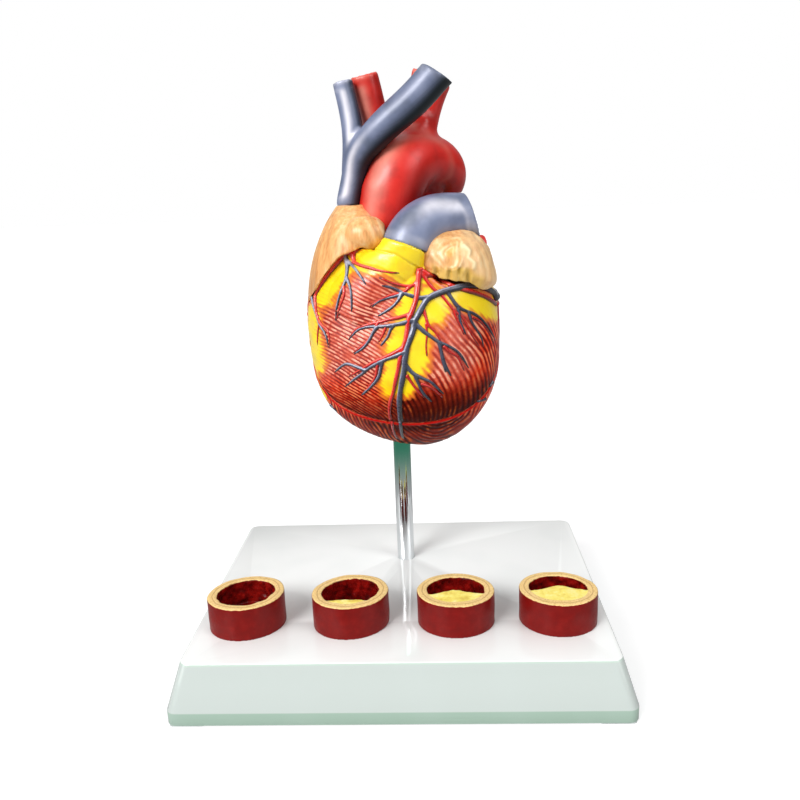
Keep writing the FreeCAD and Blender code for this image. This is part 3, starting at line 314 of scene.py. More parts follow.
# ---- settings ----
def colour_setting(name, value, description):
    return bpy.props.FloatVectorProperty(name=name, description=description, subtype="COLOR", size=3,
                                         min=0.0, max=1.0, default=value)


def number_setting(name, value, description, low=0.0, **kind):
    return bpy.props.FloatProperty(name=name, description=description, min=low, default=value, **kind)


def length_setting(name, value, description):
    return number_setting(name, value, description, subtype="DISTANCE", unit="LENGTH", precision=5)


class HeartColours(bpy.types.PropertyGroup):
    """Paints of the heart, as display colours."""
    muscle: colour_setting("Muscle", (0.82, 0.30, 0.19), "Ground colour of the ventricles")
    strand: colour_setting("Strand", (1.0, 0.75, 0.65), "Raised strands of the muscle")
    furrow: colour_setting("Furrow", (0.56, 0.09, 0.05), "Paint left in the furrows between strands")
    fat: colour_setting("Fat", (1.0, 0.88, 0.08), "Fat along the vessels")
    amber: colour_setting("Amber", (0.92, 0.50, 0.13), "Airbrushed edge of the fat")
    atrium: colour_setting("Atrium", (0.95, 0.72, 0.46), "Atria and auricles")
    atrium_dark: colour_setting("Atrium shade", (0.80, 0.47, 0.24), "Darker streaks of the atria")
    artery: colour_setting("Artery", (0.85, 0.12, 0.08), "Aorta and arteries")
    vein: colour_setting("Vein", (0.46, 0.50, 0.62), "Great veins and lung artery")
    coronary_vein: colour_setting("Coronary vein", (0.25, 0.27, 0.35), "Veins of the heart's own wall")
    valve: colour_setting("Valve", (0.93, 0.84, 0.66), "Valve leaflets and strings")


class HeartRelief(bpy.types.PropertyGroup):
    """Sizes of the moulded relief."""
    strand_pitch: length_setting("Strand pitch", 2.05 * MM, "From one muscle strand to the next")
    strand_depth: length_setting("Strand depth", 0.17 * MM, "How far a strand stands above its furrow")
    wall_voxel: length_setting("Front grain", 0.52 * MM, "Mesh grain of the front wall")
    back_voxel: length_setting("Back grain", 0.66 * MM, "Mesh grain of the back half")
    vessel_voxel: length_setting("Vessel grain", 0.8 * MM, "Mesh grain of the great vessels")
    coronary_voxel: length_setting("Coronary grain", 0.3 * MM, "Mesh grain of the coronary vessels")
    coronary_sink: number_setting("Coronary sink", 0.12, "Share of its radius that a vessel is sunk", max=1.0)


class StandFinish(bpy.types.PropertyGroup):
    """Base, rod and artery sections."""
    deck: colour_setting("Deck", (0.975, 0.985, 0.98), "Top of the base")
    skirt: colour_setting("Skirt", (0.76, 0.795, 0.778), "Sloped sides of the base")
    lip: colour_setting("Lip", (0.61, 0.705, 0.645), "Upright lip of the base")
    section: colour_setting("Section", (0.46, 0.03, 0.015), "Outside of the artery sections")
    bore: colour_setting("Bore", (0.42, 0.035, 0.03), "Inside of the artery sections")
    wall_cut: colour_setting("Wall cut", (0.93, 0.79, 0.52), "Cut face of the artery wall")
    plaque: colour_setting("Plaque", (0.97, 0.90, 0.45), "Cut face of the plaque")
    edge_round: length_setting("Edge rounding", 0.5 * MM, "Rounding of the base's edges")


class StudioSettings(bpy.types.PropertyGroup):
    """Floor, lights and camera."""
    key_light: number_setting("Key light", 2.35, "Soft light from the upper left in front")
    fill_light: number_setting("Fill light", 0.75, "Soft light from the upper right")
    sky: number_setting("Sky", 0.62, "Strength of the surround")
    lens: number_setting("Lens", 36.0, "Focal length of the camera", 1.0, unit="CAMERA")


# ---- meshes as arrays ----
def vectors_of(items, key):
    flat = np.empty(len(items) * 3, np.float32)
    items.foreach_get(key, flat)
    return flat.reshape(-1, 3).astype(float)


def shape_of(mesh):
    """The points of a mesh and the way outwards at each."""
    return vectors_of(mesh.vertices, "co"), vectors_of(mesh.vertex_normals, "vector")


def place_points(mesh, points):
    mesh.vertices.foreach_set("co", points.astype(np.float32).ravel())
    mesh.update()


def paint(mesh, **coats):
    """Keeps a number for each point under each name, for the materials."""
    for name, values in coats.items():
        attribute = mesh.attributes.new(name, "FLOAT", "POINT")
        values = np.broadcast_to(np.asarray(values, np.float32), len(mesh.vertices))
        attribute.data.foreach_set("value", np.ascontiguousarray(values))


def edges_of(mesh):
    flat = np.empty(len(mesh.edges) * 2, np.int32)
    mesh.edges.foreach_get("vertices", flat)
    return flat.reshape(-1, 2)


def neighbour_mean(values, edges):
    count = len(values)
    ends = np.concatenate([edges[:, 0], edges[:, 1]])
    others = np.concatenate([edges[:, 1], edges[:, 0]])
    near = np.maximum(np.bincount(ends, minlength=count), 1)
    columns = values.reshape(count, -1)
    sums = [np.bincount(ends, columns[others, k], minlength=count) for k in range(columns.shape[1])]
    return (np.stack(sums, 1) / near[:, None]).reshape(values.shape)


def blurred(values, edges, rounds):
    for _ in range(rounds):
        values = neighbour_mean(values, edges)
    return values


def soften(mesh, rounds):
    """Smooths without shrinking: each step in is followed by a step out."""
    points, edges = shape_of(mesh)[0], edges_of(mesh)
    for _ in range(rounds):
        for step in (0.5, -0.53):
            points += step * (neighbour_mean(points, edges) - points)
    place_points(mesh, points)


def hollowness(points, out, edges):
    """How far each point lies below the mean of its neighbours."""
    return np.einsum("ij,ij->i", neighbour_mean(points, edges) - points, out)


def fill_creases(mesh, rounds, where=()):
    """Rounds the sharp hollow lines where forms meet, and leaves raised forms alone."""
    edges = edges_of(mesh)
    for _ in range(rounds):
        points, out = shape_of(mesh)
        hollow = np.clip(hollowness(points, out, edges), 0, None) * share_within(on_heart(points), where)
        place_points(mesh, points + 0.8 * hollow[:, None] * out)


def round_rims(mesh, rounds, sharpness):
    """Rounds raised edges that are sharper than a gentle bend, such as a vessel's cut end."""
    edges = edges_of(mesh)
    for _ in range(rounds):
        points, out = shape_of(mesh)
        ridge = np.clip(-hollowness(points, out, edges) - sharpness, 0, None)
        place_points(mesh, points - 0.7 * ridge[:, None] * out)


def smooth_step(low, high, values):
    share = np.clip((values - low) / (high - low), 0, 1)
    return share * share * (3 - 2 * share)


def share_within(places, borders):
    """1 inside soft borders, 0 outside. Each border is an axis, where it is 0 and where it is 1."""
    return math.prod((smooth_step(low, high, places[:, axis]) for axis, low, high in borders), start=1.0)


def bell(values, middle, width):
    return np.exp(-((values - middle) / width) ** 2)


def merged(first, second, share):
    return (1 - share) * first + share * second


def drift(points, size, seed):
    """A gentle random field between about -1 and 1, with patches of about the given size."""
    random = np.random.default_rng(seed)
    total = np.zeros(len(points))
    for _ in range(DRIFT_WAVES):
        way = random.normal(size=points.shape[1])
        way *= math.pi / (size * random.uniform(0.7, 1.5) * np.linalg.norm(way))
        total += np.sin(points @ way + random.uniform(0, 2 * math.pi))
    return total / 3.0


def band_distance(places, spine):
    """Distance of each flat place from a line of points."""
    best = np.full(len(places), 1e9)
    for start, end in zip(np.array(spine[:-1], float), np.array(spine[1:], float)):
        along = end - start
        share = np.clip((places - start) @ along / (along @ along), 0, 1)
        gap = places - start - share[:, None] * along
        best = np.minimum(best, np.hypot(gap[:, 0], gap[:, 1]))
    return best


def inside_share(places, outline, soft):
    """1 inside a closed outline of the front view, 0 outside, with a soft border that lies inside it."""
    corners = np.array(outline, float)
    within = np.zeros(len(places), bool)
    for start, end in zip(corners, np.roll(corners, -1, axis=0)):
        spans = (start[1] > places[:, 1]) != (end[1] > places[:, 1])
        rise = end[1] - start[1] if end[1] != start[1] else 1e-9
        within ^= spans & (places[:, 0] < (end[0] - start[0]) * (places[:, 1] - start[1]) / rise + start[0])
    return within * smooth_step(0.0, soft, band_distance(places, (*outline, outline[0])))


def on_heart(points):
    """Millimetres from the rod's axis and the apex."""
    return (points - np.array(HEART_ORIGIN)) / MM


def in_picture(points):
    """Pixels of the front view."""
    ray = points - np.array(VIEW_PLACE)
    depth = ray @ np.array(VIEW_AHEAD)
    across = ray @ np.array(VIEW_RIGHT) / depth
    up = ray @ np.array(VIEW_UP) / depth
    return np.stack([PICTURE * (0.5 + across), PICTURE * (0.5 - up)], 1)


def round_heart(place):
    """Angle from the front, -180 to 180 degrees towards the viewer's right, and the height in mm."""
    return np.degrees(np.arctan2(place[:, X], -place[:, Y])), place[:, Z]


def measures(mesh):
    """Points, the way outwards, places on the heart in mm, and pixels of the front view."""
    points, out = shape_of(mesh)
    return points, out, on_heart(points), in_picture(points)


def unrolled(angle, height):
    return np.stack([np.asarray(angle, float) * math.pi / 180 * GIRTH_OF_HEART, np.asarray(height, float)], 1)


# ---- pieces ----
def piece_from(mesh, name):
    piece = bpy.data.objects.new(name, mesh)
    bpy.context.scene.collection.objects.link(piece)
    return piece


def joined_copy(*nodes, balls=()):
    """One mesh of several CAD nodes, joined at shared points, with balls added: place and radius in mm."""
    build = bmesh.new()
    for node in nodes:
        build.from_mesh(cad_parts[node].data)
    bmesh.ops.remove_doubles(build, verts=build.verts, dist=0.001 * MM)
    for *place, radius in balls:
        middle = Vector(HEART_ORIGIN) + Vector(place) * MM
        bmesh.ops.create_icosphere(build, subdivisions=BALL_ROUNDS, radius=radius * MM,
                                   matrix=Matrix.Translation(middle))
    mesh = bpy.data.meshes.new(nodes[0] + "_copy")
    build.to_mesh(mesh)
    build.free()
    return mesh


def applied(piece):
    """Gives a piece the mesh that its modifiers make, and returns that mesh."""
    solid = bpy.data.meshes.new_from_object(piece.evaluated_get(bpy.context.evaluated_depsgraph_get()))
    piece.modifiers.clear()
    piece.data = solid
    solid.shade_smooth()
    return solid


def evened(mesh, voxel, name):
    """The same form in small even faces."""
    piece = piece_from(mesh, name)
    grain = piece.modifiers.new("grain", "REMESH")
    grain.mode = "VOXEL"
    grain.voxel_size = voxel
    solid = applied(piece)
    solid.name = name
    solid.materials.clear()
    return piece


def finish_piece(piece, material, body, slot, *replaced):
    piece.data.materials.clear()
    piece.data.materials.append(material)
    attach(piece, body)
    if replaced:
        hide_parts(*replaced)
    return piece


def tree_of(mesh):
    return BVHTree.FromPolygons([v.co for v in mesh.vertices], [tuple(p.vertices) for p in mesh.polygons])


# ---- node graphs ----
class Finish:
    """A surface material under construction. Each call adds a node and returns its result."""

    def __init__(self, name):
        self.material = bpy.data.materials.new(name)
        self.material.use_nodes = True
        self.tree = self.material.node_tree
        self.surface = self.tree.nodes["Principled BSDF"]

    def add(self, kind, inputs=None, result=0, **settings):
        node = self.tree.nodes.new("ShaderNode" + kind)
        for key, value in settings.items():
            setattr(node, key, value)
        for key, value in (inputs or {}).items():
            self.feed(node.inputs[key], value)
        return node.outputs[result]

    def feed(self, socket, value):
        if isinstance(value, bpy.types.NodeSocket):
            self.tree.links.new(value, socket)
        else:
            socket.default_value = value

    def place(self, scale=(1, 1, 1)):
        """Object coordinates, stretched per axis."""
        here = self.add("TexCoord", result="Object")
        return self.add("Mapping", {"Vector": here, "Scale": scale})

    def height(self):
        return self.add("SeparateXYZ", {0: self.add("TexCoord", result="Object")}, result="Z")

    def number(self, name):
        return self.add("Attribute", attribute_name=name, result="Fac")

    def maths(self, operation, first, second=0.0, third=0.0):
        return self.add("Math", {0: first, 1: second, 2: third}, operation=operation)

    def times(self, first, second):
        return self.maths("MULTIPLY", first, second)

    def sway(self, value, cloud, amount, middle=0.5):
        """A value that is raised where a cloud is over its middle, and lowered where it is under."""
        return self.maths("MULTIPLY_ADD", self.maths("SUBTRACT", cloud, middle), amount, value)

    def between(self, cloud, low, high):
        """A number that a noise moves between two limits."""
        return self.band(cloud, 0.3, 0.7, low, high)

    def ramp(self, value, *stops):
        """A colour or grey for each stop: (place, colour)."""
        result = self.add("ValToRGB", {"Fac": value})
        elements = result.node.color_ramp.elements
        elements[0].position, elements[1].position = stops[0][0], stops[-1][0]
        for place, _ in stops[1:-1]:
            elements.new(place)
        for element, (_, colour) in zip(elements, stops):
            element.color = (*painted(colour), 1.0)
        return result

    def band(self, value, low, high, floor=0.0, top=1.0, run="SMOOTHSTEP"):
        return self.add("MapRange", {"Value": value, "From Min": low, "From Max": high, "To Min": floor,
                                     "To Max": top}, interpolation_type=run)

    def blend(self, share, first, second):
        """A colour between two, each given as a node's result or as a display colour."""
        first, second = (value if isinstance(value, bpy.types.NodeSocket) else (*painted(value), 1.0)
                         for value in (first, second))
        return self.add("Mix", {0: share, 6: first, 7: second}, result=2, data_type="RGBA")

    def shift(self, share, first, second):
        """A number between two."""
        return self.add("Mix", {0: share, 2: first, 3: second}, data_type="FLOAT")

    def noise(self, vector, scale, detail=2.0, roughness=0.5):
        return self.add("TexNoise", {"Vector": vector, "Scale": scale, "Detail": detail,
                                     "Roughness": roughness})

    def bump(self, height, distance, strength=1.0, under=None):
        inputs = {"Height": height, "Distance": distance, "Strength": strength}
        if under is not None:
            inputs["Normal"] = under
        return self.add("Bump", inputs)

    def done(self, **sockets):
        """Feeds the shader's own sockets, whose names have underscores here."""
        for key, value in sockets.items():
            self.feed(self.surface.inputs[key.replace("_", " ")], value)
        return self.material


def painted(colour):
    """A display colour as the scene's linear colour."""
    return tuple(v / 12.92 if v <= 0.04045 else ((v + 0.055) / 1.055) ** 2.4 for v in colour)


def mixed(first, second, share):
    return tuple(a + (b - a) * share for a, b in zip(first, second))


# ---- materials ----
def muscle_finish(colours):
    """Hand-painted, varnished muscle: light strands, dark furrows, airbrushed fat, painted shade, a plain
    lining inside.
    """
    coat = Finish("painted_muscle")
    side, fat, lining, cut, way, shade, matt, edge = (coat.number(name) for name in (
        "left_side", "fat", "lining", "cut", "way", "shade", "matt", "edge"))
    waves = []
    for name in ("strand_right", "strand_left"):
        turns = coat.number(name)
        own = coat.times(coat.maths("FLOOR", turns), 7.31)
        place = coat.add("CombineXYZ", {0: own, 1: coat.times(way, 0.16)})
        lift = coat.band(coat.noise(place, 1.0, 2.0), 0.32, 0.66, 0.30, 1.0)
        wave = coat.maths("MULTIPLY_ADD", coat.maths("COSINE", coat.times(turns, 2 * math.pi)), -0.5, 0.5)
        waves.append(coat.times(wave, lift))
    height = coat.shift(side, *waves)
    broad = coat.noise(coat.place(), 130.0, 3.0)
    fine = coat.noise(coat.place(), 900.0, 3.0, 0.6)
    patches = coat.band(coat.noise(coat.place(), 55.0, 2.0), 0.36, 0.62, 0.55, 1.25)
    lit = coat.sway(0.40, height, patches, 0.40)
    lit = coat.sway(lit, fine, 0.34)
    lit = coat.sway(lit, broad, 0.45)
    muscle, strand, furrow, amber, gold = (
        colours.muscle, colours.strand, colours.furrow, colours.amber, colours.fat)
    flesh = coat.ramp(lit, (0.0, furrow), (0.14, mixed(furrow, muscle, 0.5)), (0.30, muscle),
                      (0.50, mixed(muscle, strand, 0.35)), (0.76, strand))
    # Painted shade: darker copies of the muscle colours, blended in where the shade attribute is high, down
    # to near black.
    shaded_flesh = coat.ramp(lit, (0.05, (0.22, 0.01, 0.0)), (0.3, (0.46, 0.09, 0.03)), (0.6, (0.55, 0.15, 0.06)),
                     (0.95, (0.68, 0.27, 0.14)))
    warm = coat.ramp(lit, (0.05, (0.50, 0.05, 0.01)), (0.3, (0.92, 0.19, 0.05)), (0.6, (1.0, 0.36, 0.15)),
                     (0.95, (1.0, 0.62, 0.38)))
    flesh = coat.blend(coat.band(matt, 0.1, 0.9, 0.0, 0.8), flesh, warm)
    flesh = coat.blend(coat.band(shade, 0.0, 0.6), flesh, shaded_flesh)
    flesh = coat.blend(coat.band(shade, 0.45, 1.0, 0.0, 0.8), flesh, (0.19, 0.02, 0.01))
    ragged = coat.sway(fat, lit, 0.36, 0.4)
    tinted = coat.blend(coat.band(ragged, 0.03, 0.40, 0.0, 0.85), flesh, mixed(amber, muscle, 0.35))
    tinted = coat.blend(coat.band(ragged, 0.22, 0.60), tinted, amber)
    hatched = coat.shift(coat.band(fat, 0.55, 0.80), lit, 0.72)
    yellow = coat.ramp(hatched, (0.05, mixed(gold, amber, 0.6)), (0.3, mixed(gold, (1, 0.8, 0.2), 0.3)),
                       (0.6, gold))
    yellow = coat.blend(coat.band(broad, 0.45, 0.7, 0.0, 0.45), yellow, mixed(gold, amber, 0.35))
    skin = coat.blend(coat.band(ragged, 0.48, 0.92), tinted, yellow)
    skin = coat.blend(edge, skin, (0.78, 0.07, 0.05))
    inside = coat.ramp(broad, (0.3, (0.55, 0.10, 0.09)), (0.55, (0.74, 0.22, 0.17)),
                       (0.75, (0.86, 0.42, 0.33)))
    grain = coat.noise(coat.place((1, 1, 4)), 420.0, 4.0, 0.7)
    flat = coat.ramp(grain, (0.3, (0.62, 0.20, 0.15)), (0.5, (0.80, 0.38, 0.28)), (0.7, (0.90, 0.55, 0.42)))
    colour = coat.blend(cut, coat.blend(lining, skin, inside), flat)
    relief = coat.times(height, coat.maths("SUBTRACT", 1.0, lining))
    relief = coat.times(relief, coat.band(fat, 0.4, 0.8, 1.0, 0.04))
    relief = coat.times(relief, coat.maths("SUBTRACT", 1.0, edge))
    normal = coat.bump(fine, 0.05 * MM, 0.5, coat.bump(relief, 0.22 * MM, 0.8))
    return coat.done(Base_Color=colour, Roughness=coat.between(fine, 0.27, 0.40), Normal=normal,
                     Coat_Weight=coat.band(matt, 0.0, 0.9, 0.4, 0.0), Coat_Roughness=0.14,
                     Specular_IOR_Level=coat.band(matt, 0.0, 0.9, 0.5, 0.05))


def atrium_finish(colours):
    """Tan paint dragged in pale and dark streaks down the atria, with painted shade in the creases and
    painted highlights on the crests.
    """
    coat = Finish("painted_atrium")
    streak = coat.noise(coat.place((1, 1, 0.16)), 620.0, 3.0, 0.55)
    wide = coat.noise(coat.place((1, 1, 0.35)), 110.0, 2.0)
    tan, dark = colours.atrium, colours.atrium_dark
    colour = coat.ramp(coat.sway(streak, wide, 0.5), (0.24, mixed(dark, tan, 0.3)),
                       (0.42, mixed(dark, tan, 0.8)), (0.55, tan),
                       (0.76, mixed(tan, (1.0, 0.93, 0.78), 0.45)))
    # Painted shade in creases and low down, then painted highlights on crests.
    colour = coat.blend(coat.number("crease"), colour, mixed(dark, (0.42, 0.30, 0.05), 0.6))
    colour = coat.blend(coat.number("crest"), colour, (1.0, 0.93, 0.74))
    colour = coat.blend(coat.number("hem"), colour, (0.90, 0.78, 0.32))
    return coat.done(Base_Color=colour, Roughness=coat.between(streak, 0.34, 0.48),
                     Normal=coat.bump(streak, 0.12 * MM, 0.6), Coat_Weight=0.2, Coat_Roughness=0.2)


def vessel_finish(name, ground, dark, pale, streak, roughness, metal):
    """Smooth enamel with faint clouds, painted shade on one side, and a painted highlight streak along each
    vessel.
    """
    coat = Finish(name)
    clouds = coat.noise(coat.place(), 60.0, 3.0, 0.55)
    specks = coat.noise(coat.place(), 2400.0, 2.0, 0.6)
    colour = coat.ramp(clouds, (0.3, mixed(ground, dark, 0.28)), (0.5, ground),
                       (0.72, mixed(ground, pale, 0.3)))
    # Painted shade: blends towards the dark colour where the shade attribute is high.
    shade = coat.number("shade")
    colour = coat.blend(coat.times(shade, 0.9), colour, dark)
    # Painted highlight: a pale streak where the streak attribute is high.
    thin = coat.times(coat.number("streak"), coat.band(clouds, 0.3, 0.6, 0.7, 1.0))
    colour = coat.blend(thin, colour, streak)
    colour = coat.blend(coat.number("bore"), colour, mixed(dark, (0, 0, 0), 0.3))
    normal = coat.bump(clouds, 0.3 * MM, 0.3, coat.bump(specks, 0.02 * MM, 0.35))
    return coat.done(Base_Color=colour, Roughness=coat.between(specks, roughness - 0.04, roughness + 0.05),
                     Normal=normal, Metallic=metal, Coat_Weight=0.18, Coat_Roughness=0.2,
                     Specular_IOR_Level=coat.band(shade, 0.0, 0.8, 0.45, 0.15))


def coronary_finish(name, ground, dark, pale):
    """Painted relief of a coronary vessel: a painted highlight along its upper side, painted shade along its
    lower side, and a painted shadow along its foot.
    """
    coat = Finish(name)
    wear = coat.noise(coat.place(), 700.0, 3.0, 0.6)
    lit = coat.sway(coat.number("lit"), wear, 0.3)
    colour = coat.ramp(lit, (0.14, dark), (0.38, mixed(dark, ground, 0.7)), (0.52, ground), (0.66, ground),
                       (0.82, pale), (0.94, mixed(ground, pale, 0.4)))
    colour = coat.blend(coat.band(coat.number("crest"), 0.04, 0.30, 0.85, 0.0), colour, dark)
    return coat.done(Base_Color=colour, Roughness=coat.between(wear, 0.24, 0.38),
                     Normal=coat.bump(wear, 0.06 * MM, 0.6), Coat_Weight=0.4, Coat_Roughness=0.1)


def section_finish(stand):
    """An artery section: satin red outside, dark bore, and a brushed cream cut face with yellow plaque."""
    coat = Finish("artery_section")
    face, plaque, bore = (coat.number(n) for n in ("cut", "plaque", "bore"))
    fine = coat.noise(coat.place(), 1500.0, 3.0, 0.65)
    broad = coat.noise(coat.place(), 260.0, 3.0, 0.6)
    wobble = coat.sway(0.0, broad, 0.5)
    outside = coat.ramp(broad, (0.3, mixed(stand.section, (0.3, 0.02, 0.02), 0.22)), (0.52, stand.section),
                        (0.75, mixed(stand.section, (0.8, 0.25, 0.18), 0.12)))
    inner = coat.ramp(broad, (0.32, mixed(stand.bore, (0.1, 0, 0), 0.55)), (0.5, stand.bore),
                      (0.68, mixed(stand.bore, (0.8, 0.15, 0.1), 0.4)))
    cream = coat.ramp(fine, (0.3, mixed(stand.wall_cut, (0.55, 0.36, 0.15), 0.5)), (0.45, stand.wall_cut),
                      (0.7, mixed(stand.wall_cut, (1, 0.95, 0.8), 0.35)))
    yellow = coat.ramp(broad, (0.3, mixed(stand.plaque, (0.85, 0.7, 0.25), 0.6)), (0.5, stand.plaque),
                       (0.72, mixed(stand.plaque, (1, 1, 0.85), 0.5)))
    layer = coat.maths("ADD", coat.times(wobble, 2.2), coat.number("inward"))
    line = coat.maths("ABSOLUTE", coat.maths("SUBTRACT", layer, 2.45))
    cream = coat.blend(coat.band(line, 0.08, 0.34, 0.6, 0.0), cream, (0.66, 0.44, 0.20))
    top = coat.blend(coat.band(coat.maths("ADD", plaque, wobble), 0.42, 0.58), cream, yellow)
    colour = coat.blend(coat.band(coat.maths("ADD", bore, wobble), 0.4, 0.6), outside, inner)
    colour = coat.blend(coat.band(coat.maths("ADD", face, wobble), 0.42, 0.56), colour, top)
    normal = coat.bump(fine, 0.06 * MM, 0.5, coat.bump(broad, 0.25 * MM, 0.5))
    rough = coat.maths("MULTIPLY_ADD", bore, -0.18, coat.between(fine, 0.36, 0.5))
    return coat.done(Base_Color=colour, Roughness=rough, Normal=normal, Coat_Weight=0.06, Coat_Roughness=0.2,
                     Specular_IOR_Level=0.15)


def base_finish(stand):
    """Glossy moulded plastic: white deck, slightly greyer skirt and lip, with faint waves in the gloss."""
    coat = Finish("base_plastic")
    height = coat.height()
    waves = coat.noise(coat.place((1, 1, 0.2)), 26.0, 2.0)
    specks = coat.noise(coat.place(), 1800.0, 2.0)
    colour = coat.blend(coat.band(height, *LIP_TOP), stand.lip, stand.skirt)
    colour = coat.blend(coat.band(height, *SKIRT_TOP), colour, mixed(stand.lip, stand.deck, 0.4))
    colour = coat.blend(coat.band(height, *DECK_EDGE), colour, stand.deck)
    colour = coat.blend(coat.band(waves, 0.45, 0.75, 0.0, 0.12), colour, (0.80, 0.84, 0.83))
    normal = coat.bump(specks, 0.01 * MM, 0.2, coat.bump(waves, 0.35 * MM, 0.12))
    return coat.done(Base_Color=colour, Roughness=coat.between(specks, 0.10, 0.16), Normal=normal,
                     Coat_Weight=0.5, Coat_Roughness=0.04)


def metal_finish(name, worn, colour, smoothest, roughest, along=(1, 1, 0.02), tinge=None):
    """Bare metal with fine marks drawn along one way. tinge is a colour that it takes on further up."""
    coat = Finish(name)
    marks = coat.noise(coat.place(along), 3200.0, 3.0, 0.6)
    shade = coat.ramp(marks, (0.3, worn), (0.6, colour))
    if tinge:
        shade = coat.blend(coat.band(coat.height(), *ROD_TINGE), shade, tinge)
    return coat.done(Base_Color=shade, Roughness=coat.between(marks, smoothest, roughest),
                     Normal=coat.bump(marks, 0.004 * MM, 0.25), Metallic=1.0)


def plain_finish(name, colour, dark, roughness, size, depth):
    """Moulded plastic or rubber with a faint texture and colour drift."""
    coat = Finish(name)
    grain = coat.noise(coat.place(), size, 3.0, 0.6)
    drifts = coat.noise(coat.place(), size / 12, 2.0)
    shade = coat.ramp(coat.sway(grain, drifts, 0.6), (0.3, dark), (0.55, colour))
    return coat.done(Base_Color=shade, Roughness=coat.between(grain, roughness - 0.06, roughness + 0.06),
                     Normal=coat.bump(grain, depth, 0.5))


def valve_finish(colours):
    """Cream leaflets and strings, with thin veins of pink."""
    coat = Finish("valve_leaflet")
    veins = coat.noise(coat.place((1, 1, 0.3)), 500.0, 4.0, 0.6)
    shade = coat.ramp(veins, (0.32, (0.86, 0.58, 0.45)), (0.48, colours.valve), (0.7, (1.0, 0.96, 0.88)))
    return coat.done(Base_Color=shade, Roughness=coat.between(veins, 0.3, 0.42),
                     Normal=coat.bump(veins, 0.1 * MM, 0.5), Coat_Weight=0.2)


# ---- ventricle walls ----
def seam_place(height):
    """Where the seam between the two halves lies at a height, from the rod, mm."""
    lean = (SEAM_TOE[0] - SEAM_Y) / (SEAM_TOE[1] - SEAM_KNEE)
    return np.where(height > SEAM_KNEE, SEAM_Y, SEAM_Y + (height - SEAM_KNEE) * lean)


def lining_share(points, out, both):
    """1 inside the chambers and on the seam's faces, where a straight way outwards meets muscle again."""
    hidden = np.zeros(len(points))
    for k, (start, way) in enumerate(zip(points + LINING_LIFT * out, out)):
        hidden[k] = both.ray_cast(Vector(start), Vector(way), OUTSIDE_HEART)[0] is not None
    return hidden


def fibre_turns(places, middle, pitch):
    """How many strands lie between a place and the middle that they curve about, and mm along a strand."""
    across, up = places[:, 0] - middle[0], places[:, -1] - middle[1]
    reach = np.hypot(across, up)
    return reach * MM / pitch, np.arctan2(up, across) * np.mean(reach)


def strand_wave(turns, along, seed):
    """Height of the strands from 0 to 1: each rises and fades along its own length."""
    random = np.random.default_rng(seed)
    own = random.uniform(0, 2 * math.pi, STRAND_KINDS)
    length = random.uniform(5.0, 11.0, STRAND_KINDS)
    which = np.floor(turns).astype(int) % STRAND_KINDS
    lift = 0.62 + 0.38 * np.sin(2 * math.pi * along / length[which] / 2 + own[which])
    return lift * (0.5 - 0.5 * np.cos(2 * math.pi * turns))


def band_cover(places, bands, soft):
    """1 in the middle of painted bands, falling to 0 over their soft edge."""
    cover = np.zeros(len(places))
    for spine, half_width in bands:
        gap = band_distance(places, spine)
        cover = np.maximum(cover, 1 - smooth_step(half_width * 0.45, half_width + soft, gap))
    return cover


def two_fields(mesh, side, *fields):
    """Paints two fields of strands that meet. Each is its turns, the way along a strand, and a seed."""
    (right, right_way, _), (left, left_way, _) = fields
    paint(mesh, strand_right=right, strand_left=left, way=merged(right_way, left_way, side), left_side=side)
    return merged(*(strand_wave(*field) for field in fields), side)


def make_wall(node, voxel, both):
    """A half of the ventricles with its lining's paint; returns also what the outer relief needs."""
    piece = evened(joined_copy(node), voxel, node + "_painted")
    mesh = piece.data
    soften(mesh, 3)
    points, out, place, seen = measures(mesh)
    lining = lining_share(points, out, both)
    seam_gap = np.abs(place[:, Y] - seam_place(place[:, Z]))
    cut = lining * (seam_gap < 1.0)
    lining = blurred(lining, edges_of(mesh), 2)
    paint(mesh, lining=smooth_step(0.35, 0.65, lining), cut=cut)
    beams = 1 - np.abs(drift(place * (1.0, 1.0, 0.55), 4.2, 31)) * 1.5
    inner = smooth_step(0.8, 1.0, lining) * smooth_step(1.5, 5.0, seam_gap) * np.clip(beams, 0, 1)
    skin = 1 - smooth_step(0.3, 0.7, lining)
    return piece, points + inner[:, None] * 0.75 * MM * out, out, place, seen, skin, seam_gap


